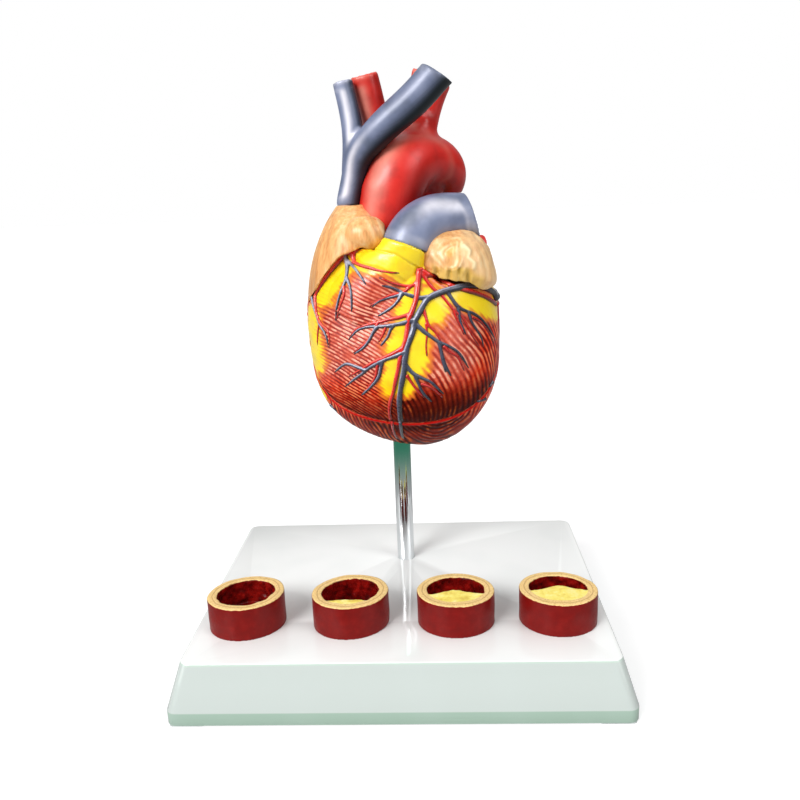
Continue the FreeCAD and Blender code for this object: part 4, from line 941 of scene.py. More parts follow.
def make_front_wall(relief, both):
    piece, points, out, place, seen, skin, seam_gap = make_wall("front_wall", relief.wall_voxel, both)
    angle, height = round_heart(place)
    wander = 0.34 * drift(place, 17.0, 5) + 0.09 * drift(place, 5.0, 6)
    flat = unrolled(angle, height)
    right, right_way = fibre_turns(flat, RIGHT_STRANDS_MIDDLE, relief.strand_pitch * 0.9)
    left, left_way = fibre_turns(flat, LEFT_STRANDS_MIDDLE, relief.strand_pitch * 1.3)
    groove = np.interp(seen[:, Y], *zip(*sorted((y, x) for x, y in LEFT_OF_GROOVE)))
    side = smooth_step(-3.0, 9.0, seen[:, X] - groove)
    wave = two_fields(piece.data, side, (right + wander, right_way, 3), (left + 0.7 * wander, left_way, 4))
    ragged = 1.3 * drift(place, 3.0, 8)
    ahead = smooth_step(0.0, 0.3, -out[:, Y]) * skin
    lobe = inside_share(seen, CONE_LOBE, 2.4) * ahead
    fat = np.maximum(band_cover(seen + ragged[:, None], FRONT_FAT, 12.5) * skin, np.clip(1.3 * lobe, 0, 1))
    ledge = np.interp(seen[:, X], *zip(*COLLAR_LEDGE))
    sleeve = smooth_step(-0.7, 0.9, ledge - seen[:, Y]) * share_within(seen, COLLAR_SIDES) * ahead
    # Painted shade: darker towards the bottom, along the left margin and in the groove along the seam.
    low = smooth_step(62, 50, height)
    rim = skin * (1 - smooth_step(0.3, 1.3, seam_gap)) * low
    foot = (1 - smooth_step(0.6, 5.5, seam_gap)) * low
    under = 0.55 * share_within(place, LOWER_MUSCLE) + 0.45 * share_within(place, LOWER_LEFT_MUSCLE)
    margin = share_within(place, LEFT_MARGIN)
    paint(piece.data, fat=fat, edge=0, matt=np.clip(0.9 * smooth_step(56, 34, height) + margin, 0, 1),
          shade=np.clip(under + 0.14 * margin + 0.45 * foot + rim, 0, 1))
    calm = 0.35 + 0.65 * smooth_step(-0.9, 0.5, drift(place, 13.0, 9))
    depth = relief.strand_depth * calm * (1 - 0.95 * smooth_step(0.3, 0.8, fat)) * (1 - rim)
    lumps = 0.2 * fat * drift(place, 5.0, 12)
    raised = depth * (wave - 0.4) + MM * (lumps + 0.9 * sleeve + 0.6 * lobe * (1 - sleeve) - 0.55 * rim)
    place_points(piece.data, points + (skin * raised)[:, None] * out)
    return piece


def make_back_half(relief, both):
    piece, points, out, place, seen, skin, seam_gap = make_wall("heart_back", relief.back_voxel, both)
    angle, height = round_heart(place)
    wander = 0.34 * drift(place, 10.0, 15) + 0.10 * drift(place, 4.0, 16)
    lip, lip_way = fibre_turns(seen, LIP_STRANDS_MIDDLE, LIP_PITCH * MM)
    left = angle % 360 / 360 * STRANDS_AROUND + height * 0.12
    from_rod = np.hypot(*place[:, :2].T)
    side = smooth_step(62, 88, np.abs(angle)) * smooth_step(14, 26, from_rod)
    wave = two_fields(piece.data, side, (lip + wander, lip_way / 2, 13), (left + wander, height, 14))
    flat = unrolled(angle % 360, height) + 1.2 * drift(place, 4.0, 18)[:, None]
    bands = [(unrolled(*zip(*spine)), width) for spine, width in BACK_FAT]
    fat = band_cover(flat, bands, 4.5) * skin
    # Painted shade: on the top face under the atria, in the groove along the seam, towards the bottom and in
    # a band below the seam.
    top = smooth_step(83.0, 83.8, height) * (out[:, Z] > 0.8)
    low = smooth_step(58, 44, height)
    rolled = skin * bell(seam_gap, 1.3, 0.95) * low
    groove = skin * (1 - smooth_step(0.1, 0.6, seam_gap)) * low
    ahead = smooth_step(95, 60, np.abs(angle))
    under = 0.36 * smooth_step(36, 18, height) * ahead + 0.2 * smooth_step(26, 4, height)
    under = under + 0.5 * bell(seam_gap, 6.5, 4.0) * smooth_step(34, 8, np.abs(place[:, X] - 8)) * ahead
    paint(piece.data, fat=fat, edge=np.clip(1.25 * rolled, 0, 1) * (1 - 0.8 * groove),
          matt=0.95 * smooth_step(48, 32, height) * ahead, shade=np.clip(under + 0.35 * top + groove, 0, 1))
    depth = relief.strand_depth * (1 - 0.9 * fat) * (1 - top) * smooth_step(1, 6, from_rod)
    raised = depth * (wave - 0.4) * (1 - rolled) + MM * (0.25 * fat * drift(place, 5.0, 22) + 0.35 * rolled)
    place_points(piece.data, points + (skin * raised)[:, None] * out)
    return piece


# ---- atria and great vessels ----
def painted_side_shade(out, from_way, reach):
    """Painted shade: darker on the sides that face away from a direction."""
    way = np.array(from_way, float) / np.linalg.norm(from_way)
    return smooth_step(0.05, 0.80, -(out @ way)) * reach


def make_soft_form(node, voxel, fillets=12, rounds=4, rims=0, balls=(), flare=()):
    """A copy of a node with rounded hollows and rims. Within flare the hollows are filled far more."""
    piece = evened(joined_copy(node, balls=balls), voxel, node + "_painted")
    fill_creases(piece.data, fillets)
    fill_creases(piece.data, FLARE_ROUNDS if flare else 0, flare)
    round_rims(piece.data, rims, RIM_SHARPNESS)
    soften(piece.data, rounds)
    return piece


def unit(vectors):
    return vectors / np.maximum(np.linalg.norm(vectors, axis=1, keepdims=True), 1e-6)


def highlight_streak_share(mesh, toward, width):
    """Painted highlight: 1 along the line of each tube that faces a direction. The tubes' run is found from
    how they curve.
    """
    out, edges = shape_of(mesh)[1], edges_of(mesh)
    bend = out[edges[:, 0]] - out[edges[:, 1]]
    curl = np.zeros((len(out), 9))
    for k in range(9):
        amount = bend[:, k // 3] * bend[:, k % 3]
        for end in (0, 1):
            curl[:, k] += np.bincount(edges[:, end], amount, minlength=len(out))
    curl = blurred(curl, edges, 30)
    along = unit(np.cross(out, np.linalg.eigh(curl.reshape(-1, 3, 3))[1][:, :, 2]))
    facing = unit(np.array(toward) - (along @ np.array(toward))[:, None] * along)
    turn = np.arccos(np.clip(np.einsum("ij,ij->i", out, facing), -1, 1))
    return blurred(bell(turn, 0, width), edges, 4)


def make_vessel(node, voxel, shade_way, reach, highlight_way, highlight_width):
    """A great vessel with rounded junctions and rims, painted shade, painted highlight streaks, and a dark
    bore at its cut ends.
    """
    piece = make_soft_form(node, voxel, 26, 4, 14, *((NECK_ROOT, ABOVE_ARCH) if node == "aorta" else ()))
    mesh = piece.data
    points, out, place, seen = measures(mesh)
    tree = tree_of(mesh)
    bore = np.zeros(len(points))
    for k, (start, way) in enumerate(zip(points + BORE_LIFT * out, out)):
        hit = tree.ray_cast(Vector(start), Vector(way), BORE_REACH)
        bore[k] = hit[0] is not None and Vector(way).dot(hit[1]) < -0.7
    bore = smooth_step(0.6, 0.95, blurred(bore, edges_of(mesh), 3))
    # Painted shade on the side away from the light.
    shade = painted_side_shade(out, shade_way, reach)
    # A painted highlight streak along the side of each tube that faces the light.
    streak = 0.85 * highlight_streak_share(mesh, highlight_way, highlight_width)
    if node == "superior_vena_cava":
        # Deeper painted shade and a weaker painted highlight round the fork of the neck veins.
        fork = share_within(place, VEIN_FORK)
        shade = shade + 0.16 * fork
        streak = streak * 1.3 * (1 - 0.85 * fork)
    if node == "pulmonary_artery":
        streak = streak * (0.25 + 0.75 * share_within(seen, LUNG_HIGHLIGHT))
    if node == "aorta":
        # Painted shade: dark in the hollow under the arch, and less shade where the arch turns.
        from_pit = np.hypot(*((seen - ARCH_PIT_SHADE[0]) / ARCH_PIT_SHADE[1]).T)
        pit_shade = smooth_step(1.25, 0.35, from_pit) * smooth_step(0.0, 0.4, -out[:, Y])
        shade = np.maximum(shade * (1 - 0.6 * share_within(place, ARCH_TURN)), pit_shade)
        # The painted highlight is weaker below the arch, at its end and round the foot of the neck arteries.
        for where, less in ((BELOW_ARCH, 0.35), (ARCH_END, 0.8)):
            streak = streak * (1 - less * share_within(place, where))
        streak = streak * (1 - 0.7 * bell(place[:, Z], *NECK_FOOT))
        left = smooth_step(0.2, 0.9, -out[:, X]) * (1 - bore)
        fuller = left * (1.4 * share_within(place, ASCENDING) + 0.8 * share_within(place, NECK_SIDE))
        place_points(mesh, points + (fuller * MM)[:, None] * out)
    paint(mesh, shade=shade, bore=bore, streak=streak)
    return piece


def make_right_atrium(relief):
    piece = make_soft_form("right_atrium", relief.vessel_voxel * 0.8, 8)
    points, out, place, seen = measures(piece.data)
    from_lobe = np.hypot(*(seen - ATRIUM_LOBE).T)
    folds = np.cos(2 * math.pi * (seen[:, X] * 0.8 - seen[:, Y] * 0.35) / 9.0) * smooth_step(26, 8, from_lobe)
    ripples = drift(place * (1.0, 1.0, 0.35), 3.5, 41)
    # Painted shade in the folds, low down and under the lobe; painted highlight on the fold crests.
    under = share_within(seen, ATRIUM_LOBE_SHADE) * smooth_step(0.0, 0.4, -out[:, Y])
    crease = 0.25 * smooth_step(0.35, 0.9, -folds) + 0.25 * smooth_step(102, 90, place[:, Z]) + 0.5 * under
    paint(piece.data, crease=np.clip(crease, 0, 1), crest=0.28 * smooth_step(0.4, 0.9, folds), hem=0)
    place_points(piece.data, points + (0.2 * MM * ripples + 0.1 * MM * folds)[:, None] * out)
    return piece


def make_left_atrium(relief):
    piece = make_soft_form("left_atrium", relief.vessel_voxel, 8)
    points, out, place, _ = measures(piece.data)
    ripples = drift(place * (1.0, 1.0, 0.5), 5.0, 43)
    # Painted shade in the ripples' hollows and low down; painted highlight on their crests.
    crease = 0.45 * smooth_step(0.4, 1.0, -ripples) + 0.3 * smooth_step(92, 85, place[:, Z])
    paint(piece.data, crease=crease, crest=0.4 * smooth_step(0.5, 1.1, ripples), hem=0)
    place_points(piece.data, points + 0.3 * MM * ripples[:, None] * out)
    return piece


def make_left_auricle(relief):
    """The left auricle: a swirl of wrinkles, and hanging folds along its scalloped lower edge."""
    piece = make_soft_form("left_auricle", relief.vessel_voxel * 0.6, 6)
    points, out, place, seen = measures(piece.data)
    ahead = smooth_step(-0.1, 0.5, -out[:, Y])
    swirl = seen - AURICLE_SWIRL + 1.6 * drift(place, 5.0, 51)[:, None]
    turn = np.arctan2(swirl[:, Y], swirl[:, X])
    reach = np.hypot(swirl[:, X] * 0.9, swirl[:, Y] * 0.8) * (1 + 0.10 * np.sin(3 * turn + 0.5))
    waves = 0.5 + 0.5 * np.cos(2 * math.pi * reach / 4.6 + 1.3 * drift(place, 6.0, 55))
    ring = waves * smooth_step(17, 12, reach) * smooth_step(1.5, 5.5, reach) * ahead
    ring = ring * np.clip(0.6 + 0.6 * drift(place, 3.5, 56), 0, 1)
    oval = smooth_step(6.5, 3.0, np.hypot(swirl[:, X] * 0.8, swirl[:, Y])) * ahead
    stroke = bell(band_distance(seen, AURICLE_STROKE), 0, 1.7) * ahead
    wavy = seen[:, Y] + 2.5 * drift(place, 4.0, 54)
    hem = smooth_step(AURICLE_HEM - 2, AURICLE_HEM + 10, wavy) * ahead * share_within(seen, HEM_SIDES)
    nearest = np.min([np.abs(seen[:, X] - fold) for fold in AURICLE_FOLDS], axis=0)
    gap = smooth_step(3.4, 0.2, nearest) * np.clip(0.75 + 0.5 * drift(place, 4.0, 57), 0.25, 1)
    wrinkles = drift(place * (1.2, 1.2, 0.6), 2.6, 53)
    # Painted shade in the creases between the hanging folds, and a darker ring round the swirl.
    crease = 0.8 * gap * hem + 0.25 * smooth_step(13.5, 15.5, reach) * smooth_step(19, 16, reach) * ahead
    pale = 0.65 * ring + 0.55 * stroke + 0.15 * smooth_step(0.4, 1.2, -wrinkles)
    # Painted light: the auricle's right side is paler.
    pale = pale + 0.3 * share_within(seen, AURICLE_PAINTED_LIGHT)
    corner = share_within(seen, HEM_CORNER) * ahead
    paint(piece.data, crease=np.clip(crease + 0.2 * smooth_step(0.5, 1.2, wrinkles), 0, 1),
          crest=np.clip(pale, 0, 1) * (1 - hem), hem=np.clip(0.55 * hem + 0.3 * oval + 0.8 * corner, 0, 1))
    move = 0.24 * ring + 0.2 * oval + 0.35 * stroke + hem * (0.4 - 1.5 * gap) + 0.2 * wrinkles
    points = points + (move * MM)[:, None] * out
    shares = [(share_within(seen, borders), shift) for borders, shift in AURICLE_SHIFTS]
    for middle, spread, shift in AURICLE_FULLNESS:
        shares.append((bell(np.hypot(*(seen - middle).T), 0, spread), shift))
    for share, shift in shares:
        points = points + share[:, None] * np.array(shift) * MM
    place_points(piece.data, points)
    soften(piece.data, 1)
    return piece


# ---- coronary vessels ----
def smooth_line(places, step):
    """Even steps along a smooth curve through the places."""
    given = [np.array(p, float) for p in places]
    ends = [2 * given[0] - given[1], *given, 2 * given[-1] - given[-2]]
    line = []
    for before, start, end, after in zip(ends, ends[1:], ends[2:], ends[3:]):
        count = max(2, int(np.linalg.norm(end - start) / step))
        for share in np.arange(count) / count:
            line.append(0.5 * (2 * start + (end - before) * share
                               + (2 * before - 5 * start + 4 * end - after) * share ** 2
                               + (3 * start - before - 3 * end + after) * share ** 3))
    line.append(given[-1])
    return line


def front_hit(tree, place):
    """The muscle behind a place of the front view. A place just off the wall is nudged onto it."""
    for nudge in range(12):
        x, y = place + (WALL_MIDDLE - place) * 0.012 * nudge
        way = VIEW_AHEAD + VIEW_RIGHT * (x / PICTURE - 0.5) + VIEW_UP * (0.5 - y / PICTURE)
        point, out, _, _ = tree.ray_cast(VIEW_PLACE, way.normalized())
        if point is not None and out.y < 0.15:
            return point, out
    raise ValueError(f"no muscle behind {place}")


def side_hit(tree, place):
    """The outermost muscle at an angle and height."""
    angle = math.radians(place[0])
    way = Vector((math.sin(angle), -math.cos(angle), 0))
    x, y, z = HEART_ORIGIN
    start = Vector((x, y, z + place[1] * MM)) + way * OUTSIDE_HEART
    point, out, _, _ = tree.ray_cast(start, -way)
    if point is None:
        raise ValueError(f"no muscle at {place}")
    return point, out


def route_on(tree, vessel, find, step, sink):
    """Centre points and radii of a vessel that lies on the muscle, with its ends let into it."""
    _, first, last, places = vessel
    hits = [find(tree, place) for place in smooth_line(places, step)]
    points = np.array([hit[0] for hit in hits])
    out = np.array([hit[1] for hit in hits])
    for _ in range(3):
        out[1:-1] = (out[:-2] + out[1:-1] * 2 + out[2:]) / 4
        points[1:-1] = (points[:-2] + points[1:-1] * 2 + points[2:]) / 4
    out /= np.linalg.norm(out, axis=1)[:, None]
    share = np.linspace(0, 1, len(points))
    girth = (first + (last - first) * share ** 0.8) * MM
    girth = girth * (1 + 0.06 * np.sin(share * len(points) * 0.35 + first * 9))
    let_in = 0.9 * smooth_step(0.86, 1.0, share) if last < 0.7 else 0.0
    if vessel[0] in FREE_STARTS:
        let_in = let_in + 1.1 * smooth_step(0.10, 0.0, share)
    return points + out * (girth * (0.25 - sink - let_in))[:, None], girth


def tube_tree():
    """A tree that gives lines a round body whose girth is kept at each point."""
    tree = bpy.data.node_groups.new("vessel_body", "GeometryNodeTree")
    for name, side, kind in (("Lines", "INPUT", "Geometry"), ("Thickness", "INPUT", "Float"),
                             ("Sides", "INPUT", "Int"), ("Paint", "INPUT", "Material"),
                             ("Body", "OUTPUT", "Geometry")):
        tree.interface.new_socket(name, in_out=side, socket_type="NodeSocket" + kind)
    given, result, thick, girth, curve, radius, ring, body, real, coat = (tree.nodes.new(kind) for kind in (
        "NodeGroupInput", "NodeGroupOutput", "ShaderNodeMath", "GeometryNodeInputNamedAttribute",
        "GeometryNodeMeshToCurve", "GeometryNodeSetCurveRadius", "GeometryNodeCurvePrimitiveCircle",
        "GeometryNodeCurveToMesh", "GeometryNodeRealizeInstances", "GeometryNodeSetMaterial"))
    girth.data_type = "FLOAT"
    girth.inputs["Name"].default_value = "girth"
    thick.operation = "MULTIPLY"
    ring.inputs["Radius"].default_value = 1.0
    body.inputs["Fill Caps"].default_value = True
    for source, result_name, target, input_name in (
            (given, "Lines", curve, "Mesh"), (girth, "Attribute", thick, 0), (given, "Thickness", thick, 1),
            (curve, "Curve", radius, "Curve"), (thick, 0, radius, "Radius"), (radius, "Curve", body, "Curve"),
            (given, "Sides", ring, "Resolution"), (ring, "Curve", body, "Profile Curve"),
            (thick, 0, body, "Scale"), (body, "Mesh", real, "Geometry"), (real, "Geometry", coat, "Geometry"),
            (given, "Paint", coat, "Material"), (coat, "Geometry", result, "Body")):
        tree.links.new(source.outputs[result_name], target.inputs[input_name])
    return tree


def make_coronaries(name, muscle, groups, material, relief, tree_group):
    """One mesh of the vessels of a colour on a muscle. Each group is its vessels, their finder and step."""
    points, edges, girths = [], [], []
    for vessels, find, step in groups:
        for vessel in vessels:
            line, girth = route_on(muscle, vessel, find, step, relief.coronary_sink)
            first = len(points)
            points.extend(line.tolist())
            girths.extend(girth.tolist())
            edges.extend((k, k + 1) for k in range(first, len(points) - 1))
    lines = bpy.data.meshes.new(name + "_lines")
    lines.from_pydata(points, edges, [])
    paint(lines, girth=girths)
    piece = piece_from(lines, name)
    body = piece.modifiers.new("body", "NODES")
    body.node_group = tree_group
    values = {"Thickness": VESSEL_THICKNESS, "Sides": VESSEL_SIDES, "Paint": material}
    for socket in tree_group.interface.items_tree:
        if socket.in_out == "INPUT" and socket.name in values:
            body[socket.identifier] = values[socket.name]
    tubes = applied(piece)
    bpy.data.objects.remove(piece)
    piece = evened(tubes, relief.coronary_voxel, name)
    fill_creases(piece.data, 8)
    soften(piece.data, 3)
    # Painted shadow along the foot where a vessel meets the muscle, and painted highlight and shade from the
    # way each side faces.
    height = np.array([muscle.find_nearest(vertex.co)[3] for vertex in piece.data.vertices])
    lit = 0.5 + 0.5 * shape_of(piece.data)[1] @ np.array(UPPER_LEFT)
    paint(piece.data, crest=smooth_step(0.05, 1.15, height / MM), lit=lit)
    return piece


# ---- stand ----
def make_section(number):
    """An artery section with hand-painted faces and slightly uneven walls."""
    node = f"artery_section_{number}"
    piece = evened(joined_copy(node), SECTION_GRAIN, node + "_painted")
    mesh = piece.data
    soften(mesh, 3)
    low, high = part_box(node)
    middle = (np.array(low) + np.array(high)) / 2
    (points, out), edges = shape_of(mesh), edges_of(mesh)
    from_middle = (points - middle) / MM
    reach = np.hypot(*from_middle[:, :2].T)
    outward = np.einsum("ij,ij->i", out[:, :2], from_middle[:, :2]) / np.maximum(reach, 0.1)
    below_top = (high.z - points[:, Z]) / MM
    face = (out[:, Z] > 0.6) * (below_top < 1.2) * 1.0
    to_rim = outer_gap(from_middle, reach)
    bore = (face < 0.5) * (outward < 0.3) * (to_rim > 2.5) * 1.0
    bore = blurred(bore, edges, 4)
    paint(mesh, cut=neighbour_mean(face, edges), inward=to_rim, bore=bore,
          plaque=smooth_step(4.4, 5.0, to_rim))
    steady = smooth_step(0.0, 3.0, (points[:, Z] - low.z) / MM)
    rough = 0.10 * drift(from_middle, 5.0, 60 + number) + 0.28 * bore * drift(from_middle, 2.2, 70 + number)
    place_points(mesh, points + (rough * steady * MM)[:, None] * out)
    return piece


def outer_gap(from_middle, reach):
    """Distance in from the outer wall, found from the wall's own outline at each angle."""
    angle = np.arctan2(from_middle[:, Y], from_middle[:, X])
    slot = ((angle + math.pi) / (2 * math.pi) * OUTLINE_PARTS).astype(int) % OUTLINE_PARTS
    outline = np.zeros(OUTLINE_PARTS)
    np.maximum.at(outline, slot, reach)
    ring = np.concatenate([outline[-1:], outline, outline[:1]])
    centres = (np.arange(-1, OUTLINE_PARTS + 1) + 0.5) / OUTLINE_PARTS * 2 * math.pi - math.pi
    return np.interp(angle, centres, ring) - reach


def make_base(stand):
    """The moulded base with its edges rounded."""
    piece = piece_from(joined_copy("base_shell"), "base_moulding")
    build = bmesh.new()
    build.from_mesh(piece.data)
    bmesh.ops.dissolve_limit(build, angle_limit=math.radians(1.0), verts=build.verts, edges=build.edges)
    build.to_mesh(piece.data)
    build.free()
    rounding = piece.modifiers.new("edges", "BEVEL")
    rounding.width = stand.edge_round
    rounding.segments = 3
    rounding.angle_limit = math.radians(35)
    applied(piece).set_sharp_from_angle(angle=math.radians(30))
    return piece


# ---- operators ----
class HEART_OT_base(bpy.types.Operator):
    """Base moulding with rounded edges"""
    bl_idname = "heart.base"
    bl_label = "Base"

    def execute(self, context):
        stand = context.scene.heart_stand
        finish_piece(make_base(stand), base_finish(stand), "stand", "base_plastic", "base_shell")
        return {"FINISHED"}


class HEART_OT_fittings(bpy.types.Operator):
    """Finishes of the rod, the feet and the small hidden fittings"""
    bl_idname = "heart.fittings"
    bl_label = "Rod and fittings"

    def execute(self, context):
        chrome = metal_finish("rod_chrome", (0.76, 0.77, 0.78), (0.87, 0.88, 0.89), 0.07, 0.11,
                              tinge=(0.27, 0.60, 0.48))
        steel = metal_finish("screw_steel", (0.6048, 0.6048, 0.6224), (0.66, 0.66, 0.68), 0.24, 0.36,
                             (1, 1, 1))
        brass = metal_finish("insert_brass", (0.728, 0.596, 0.3056), (0.80, 0.65, 0.32), 0.224, 0.336,
                             (1, 1, 0.2))
        rubber = plain_finish("foot_rubber", (0.80, 0.83, 0.82), (0.70, 0.73, 0.72), 0.6, 900.0, 0.05 * MM)
        plug = plain_finish("socket_plastic", (0.88, 0.87, 0.84), (0.80, 0.79, 0.75), 0.45, 700.0, 0.03 * MM)
        steel_nodes = ("back_magnets", "front_magnets", "locating_pegs", "rod_screw", "rod_washer",
                       "artery_screws")
        for coat, nodes in ((chrome, ("rod",)), (steel, steel_nodes), (brass, ("rod_insert",)),
                            (rubber, ("corner_feet",)), (plug, ("rod_cap", "socket_bush"))):
            for node in nodes:
                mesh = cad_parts[node].data
                mesh.materials.clear()
                mesh.materials.append(coat)
        return {"FINISHED"}


class HEART_OT_sections(bpy.types.Operator):
    """Four artery sections with growing plaque"""
    bl_idname = "heart.sections"
    bl_label = "Artery sections"

    def execute(self, context):
        coat = section_finish(context.scene.heart_stand)
        for number in range(1, 5):
            piece = make_section(number)
            finish_piece(piece, coat, "stand", "section_red", f"artery_section_{number}")
        return {"FINISHED"}


class HEART_OT_ventricles(bpy.types.Operator):
    """Both halves of the ventricles, with strands, fat and the chambers' lining"""
    bl_idname = "heart.ventricles"
    bl_label = "Ventricles"

    def execute(self, context):
        relief = context.scene.heart_relief
        coat = muscle_finish(context.scene.heart_colours)
        both = tree_of(joined_copy("front_wall", "heart_back"))
        finish_piece(make_front_wall(relief, both), coat, "wall", "heart_muscle", "front_wall")
        finish_piece(make_back_half(relief, both), coat, "heart", "heart_muscle", "heart_back")
        for side in ("left", "right"):
            node = f"papillary_muscles_{side}"
            piece = make_soft_form(node, PAPILLARY_GRAIN, 6)
            paint(piece.data, lining=1, strand_right=0, strand_left=0, way=0, left_side=0, fat=0, cut=0,
                  edge=0, shade=0, matt=0)
            finish_piece(piece, coat, "heart", "heart_muscle", node)
        return {"FINISHED"}


class HEART_OT_atria(bpy.types.Operator):
    """Atria and the left auricle with its wrinkles"""
    bl_idname = "heart.atria"
    bl_label = "Atria"

    def execute(self, context):
        relief = context.scene.heart_relief
        coat = atrium_finish(context.scene.heart_colours)
        for node, make in (("right_atrium", make_right_atrium), ("left_atrium", make_left_atrium),
                           ("left_auricle", make_left_auricle)):
            finish_piece(make(relief), coat, "heart", "atrium_tan", node)
        return {"FINISHED"}


class HEART_OT_vessels(bpy.types.Operator):
    """Aorta, lung artery, great veins and lung veins"""
    bl_idname = "heart.vessels"
    bl_label = "Great vessels"

    def execute(self, context):
        colours, grain = context.scene.heart_colours, context.scene.heart_relief.vessel_voxel
        # Colours: ground, the dark of the painted shade and the bores, pale clouds, and the painted highlight
        # streak.
        red = vessel_finish("artery_enamel", colours.artery, (0.34, 0.02, 0.01), (0.95, 0.25, 0.18),
                            (0.96, 0.62, 0.54), 0.38, 0.0)
        blue = vessel_finish("vein_enamel", colours.vein, (0.08, 0.12, 0.14), (0.70, 0.73, 0.84),
                             (0.93, 0.92, 0.95), 0.42, 0.12)
        above, ahead, aside = (-0.3, -0.2, 0.9), (-0.2, -0.9, 0.4), (-0.5, -0.8, 0.35)
        # Each vessel: its node, finish and slot, the way its painted shade turns from and how dark it gets,
        # and the way its painted highlight streak faces and its width.
        vessels = (("aorta", red, "artery_red", (-0.55, 0.1, 0.7), 0.75, aside, 0.34),
                   ("superior_vena_cava", blue, "vein_blue", (-0.8, 0.1, 0.6), 0.98, ahead, 0.27),
                   ("pulmonary_artery", blue, "vein_blue", (-0.1, -0.4, 0.9), 0.8, ahead, 0.30),
                   ("inferior_vena_cava", blue, "vein_blue", above, 0.5, ahead, 0.27),
                   ("pulmonary_veins_left", red, "artery_red", above, 0.4, ahead, 0.27),
                   ("pulmonary_veins_right", red, "artery_red", above, 0.4, ahead, 0.27))
        for node, coat, slot, *brushwork in vessels:
            voxel = grain * (0.85 if node == "aorta" else 0.7)
            finish_piece(make_vessel(node, voxel, *brushwork), coat, "heart", slot, node)
        return {"FINISHED"}


class HEART_OT_valves(bpy.types.Operator):
    """Valve leaflets and the strings that hold them"""
    bl_idname = "heart.valves"
    bl_label = "Valves"

    def execute(self, context):
        coat = valve_finish(context.scene.heart_colours)
        for valve in ("mitral", "tricuspid", "aortic", "pulmonary"):
            node = valve + "_valve"
            body = "wall" if valve == "pulmonary" else "heart"
            piece = make_soft_form(node, VALVE_GRAIN, 3, 3)
            finish_piece(piece, coat, body, "valve_cream", node)
        for side in ("left", "right"):
            node = f"chordae_{side}"
            piece = make_soft_form(node, STRING_GRAIN, 4, 2)
            finish_piece(piece, coat, "heart", "valve_cream", node)
        return {"FINISHED"}


class HEART_OT_coronaries(bpy.types.Operator):
    """Coronary arteries and veins that follow the painted muscle"""
    bl_idname = "heart.coronaries"
    bl_label = "Coronary vessels"

    def execute(self, context):
        colours, relief = context.scene.heart_colours, context.scene.heart_relief
        wall = tree_of(bpy.data.objects["front_wall_painted"].data)
        back = tree_of(bpy.data.objects["heart_back_painted"].data)
        body = tube_tree()
        # Coronary colours: ground, the dark of the painted shade and shadow, and the pale of the painted
        # highlight.
        red = coronary_finish("coronary_artery", (0.82, 0.09, 0.06), (0.36, 0.01, 0.01), (0.96, 0.42, 0.36))
        vein = colours.coronary_vein
        blue = coronary_finish("coronary_vein", vein, (0.04, 0.05, 0.07),
                               mixed(vein, (0.82, 0.84, 0.92), 0.75))
        ahead, around = (front_hit, FRONT_STEP), (side_hit, SIDE_STEP)
        for name, muscle, rides, coat, slot, *groups in (
                ("arteries_front", wall, "wall", red, "artery_red", (FRONT_ARTERIES, *ahead)),
                ("veins_front", wall, "wall", blue, "vein_blue", (FRONT_VEINS, *ahead)),
                ("arteries_back", back, "heart", red, "artery_red", (BACK_ARTERIES, *around),
                 (LIP_ARTERIES, *ahead)),
                ("veins_back", back, "heart", blue, "vein_blue", (BACK_VEINS, *around), (LIP_VEINS, *ahead))):
            piece = make_coronaries("coronary_" + name, muscle, groups, coat, relief, body)
            finish_piece(piece, coat, rides, slot)
        return {"FINISHED"}


class HEART_OT_stage(bpy.types.Operator):
    """Pale floor, soft studio light and the camera"""
    bl_idname = "heart.stage"
    bl_label = "Stage"

    def execute(self, context):
        studio = context.scene.heart_studio
        make_floor()
        soft_sun("key_light", (-0.54, -0.70, 0.56), studio.key_light, 26)
        soft_sun("fill_light", (0.72, -0.55, 0.60), studio.fill_light, 34)
        white_surround(context.scene, studio.sky)
        lens = bpy.data.cameras.new("camera")
        lens.lens = studio.lens
        lens.sensor_width = 36.0
        lens.sensor_fit = "HORIZONTAL"
        lens.clip_start = 0.01
        camera = bpy.data.objects.new("camera", lens)
        turn = Matrix((VIEW_RIGHT, VIEW_UP, -VIEW_AHEAD)).transposed().to_4x4()
        camera.matrix_world = Matrix.Translation(VIEW_PLACE) @ turn
        context.scene.collection.objects.link(camera)
        context.scene.camera = camera
        context.scene.view_settings.view_transform = "Standard"
        return {"FINISHED"}


def make_floor():
    """A plain pale floor that looks white, and that throws less light back up than a white one would."""
    floor = piece_from(bpy.data.meshes.new("floor"), "floor")
    floor.data.from_pydata([(-9, -9, 0), (9, -9, 0), (9, 9, 0), (-9, 9, 0)], [], [(0, 1, 2, 3)])
    coat = Finish("floor_paint")
    mottle = coat.noise(coat.place(), 3.0, 2.0)
    tone = coat.ramp(mottle, (0.3, (0.70, 0.70, 0.705)), (0.7, (0.72, 0.72, 0.72)))
    seen = coat.add("LightPath", result="Is Camera Ray")
    coat.done(Base_Color=tone, Roughness=0.9, Specular_IOR_Level=0.0, Emission_Color=(1, 1, 1, 1),
              Emission_Strength=coat.times(seen, 0.66))
    floor.data.materials.append(coat.material)
    return floor


def soft_sun(name, toward, strength, spread):
    """A large soft light far away in a direction."""
    lamp = bpy.data.lights.new(name, "SUN")
    lamp.energy = strength
    lamp.angle = math.radians(spread)
    light = bpy.data.objects.new(name, lamp)
    light.rotation_euler = Vector(toward).to_track_quat("Z", "Y").to_euler()
    bpy.context.scene.collection.objects.link(light)


class Surround(Finish):
    """The scene's surround under construction, with the same calls as a surface material."""

    def __init__(self, name):
        self.world = bpy.data.worlds.new(name)
        self.world.use_nodes = True
        self.tree = self.world.node_tree
        self.surface = self.tree.nodes["Background"]


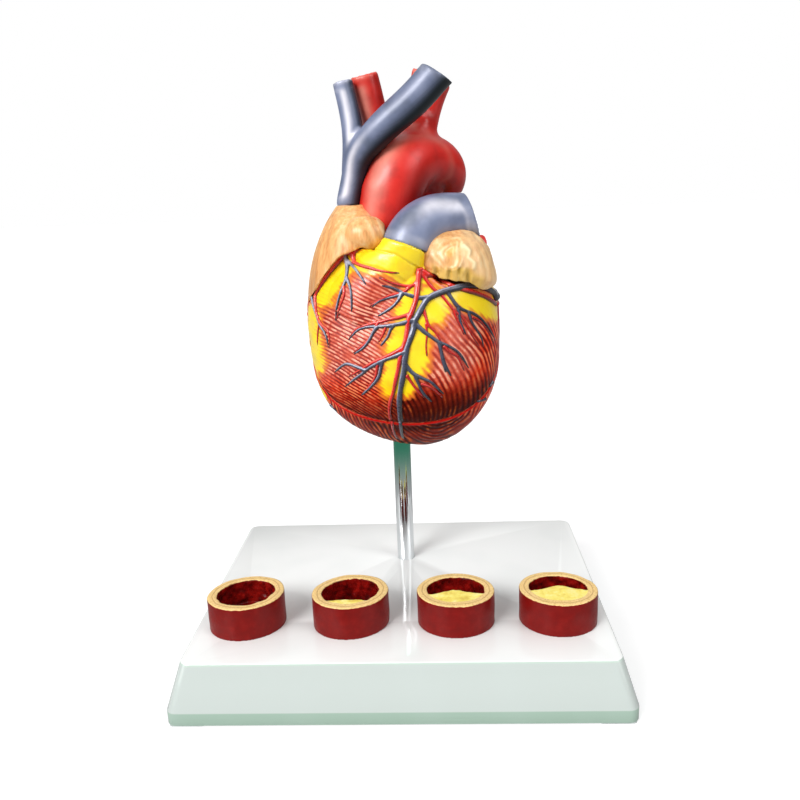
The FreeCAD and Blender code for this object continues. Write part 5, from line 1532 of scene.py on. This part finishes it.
def white_surround(scene, strength):
    """White behind the model. For light and reflections it is a dim room with a tall window on each side."""
    room = Surround("surround")
    scene.world = room.world
    split = room.add("SeparateXYZ", {0: room.add("TexCoord", result="Generated")}).node.outputs
    level = room.band(split["Z"], -0.05, 0.75, 0.22, 1.0, "LINEAR")
    sideways = room.maths("ABSOLUTE", split["X"])
    level = room.times(level, room.band(sideways, 0.45, 0.85, 1.0, 0.35, "LINEAR"))
    turn = room.maths("ARCTAN2", split["X"], room.times(split["Y"], -1.0))
    height = room.times(room.band(split["Z"], -0.10, 0.05), room.band(split["Z"], 0.62, 0.85, 1.0, 0.0))
    for middle, half_width, glow in WINDOWS:
        away = room.maths("ABSOLUTE", room.maths("SUBTRACT", turn, math.radians(middle)))
        pane = room.band(away, math.radians(half_width - 4), math.radians(half_width + 4), glow, 0.0)
        level = room.maths("MULTIPLY_ADD", pane, height, level)
    seen = room.add("LightPath", result="Is Camera Ray")
    level = room.shift(seen, room.times(level, strength), 1.0)
    room.feed(room.surface.inputs["Strength"], level)
    room.surface.inputs["Color"].default_value = (1, 1, 1, 1)


class HEART_PT_model(bpy.types.Panel):
    """Lists the groups of pieces and their settings"""
    bl_label = "Heart model"
    bl_idname = "HEART_PT_model"
    bl_space_type = "VIEW_3D"
    bl_region_type = "UI"
    bl_category = "Heart model"

    def draw(self, context):
        for operator in OPERATORS:
            self.layout.operator(operator.bl_idname)
        for name in SETTINGS:
            box = self.layout.box()
            values = getattr(context.scene, name)
            for key in values.__annotations__:
                box.prop(values, key)


OPERATORS = (HEART_OT_stage, HEART_OT_base, HEART_OT_fittings, HEART_OT_sections, HEART_OT_ventricles,
             HEART_OT_atria, HEART_OT_vessels, HEART_OT_valves, HEART_OT_coronaries)
SETTINGS = {"heart_colours": HeartColours, "heart_relief": HeartRelief, "heart_stand": StandFinish,
            "heart_studio": StudioSettings}


def register():
    for group in (*SETTINGS.values(), *OPERATORS, HEART_PT_model):
        bpy.utils.register_class(group)
    for name, group in SETTINGS.items():
        setattr(bpy.types.Scene, name, bpy.props.PointerProperty(type=group))


def unregister():
    for name in SETTINGS:
        delattr(bpy.types.Scene, name)
    for group in (HEART_PT_model, *reversed(OPERATORS), *reversed(tuple(SETTINGS.values()))):
        bpy.utils.unregister_class(group)


def main():
    register()
    bpy.ops.heart.stage()
    bpy.ops.heart.base()
    bpy.ops.heart.fittings()
    bpy.ops.heart.sections()
    bpy.ops.heart.ventricles()
    bpy.ops.heart.atria()
    bpy.ops.heart.vessels()
    bpy.ops.heart.valves()
    bpy.ops.heart.coronaries()


if __name__ == "__main__":
    main()
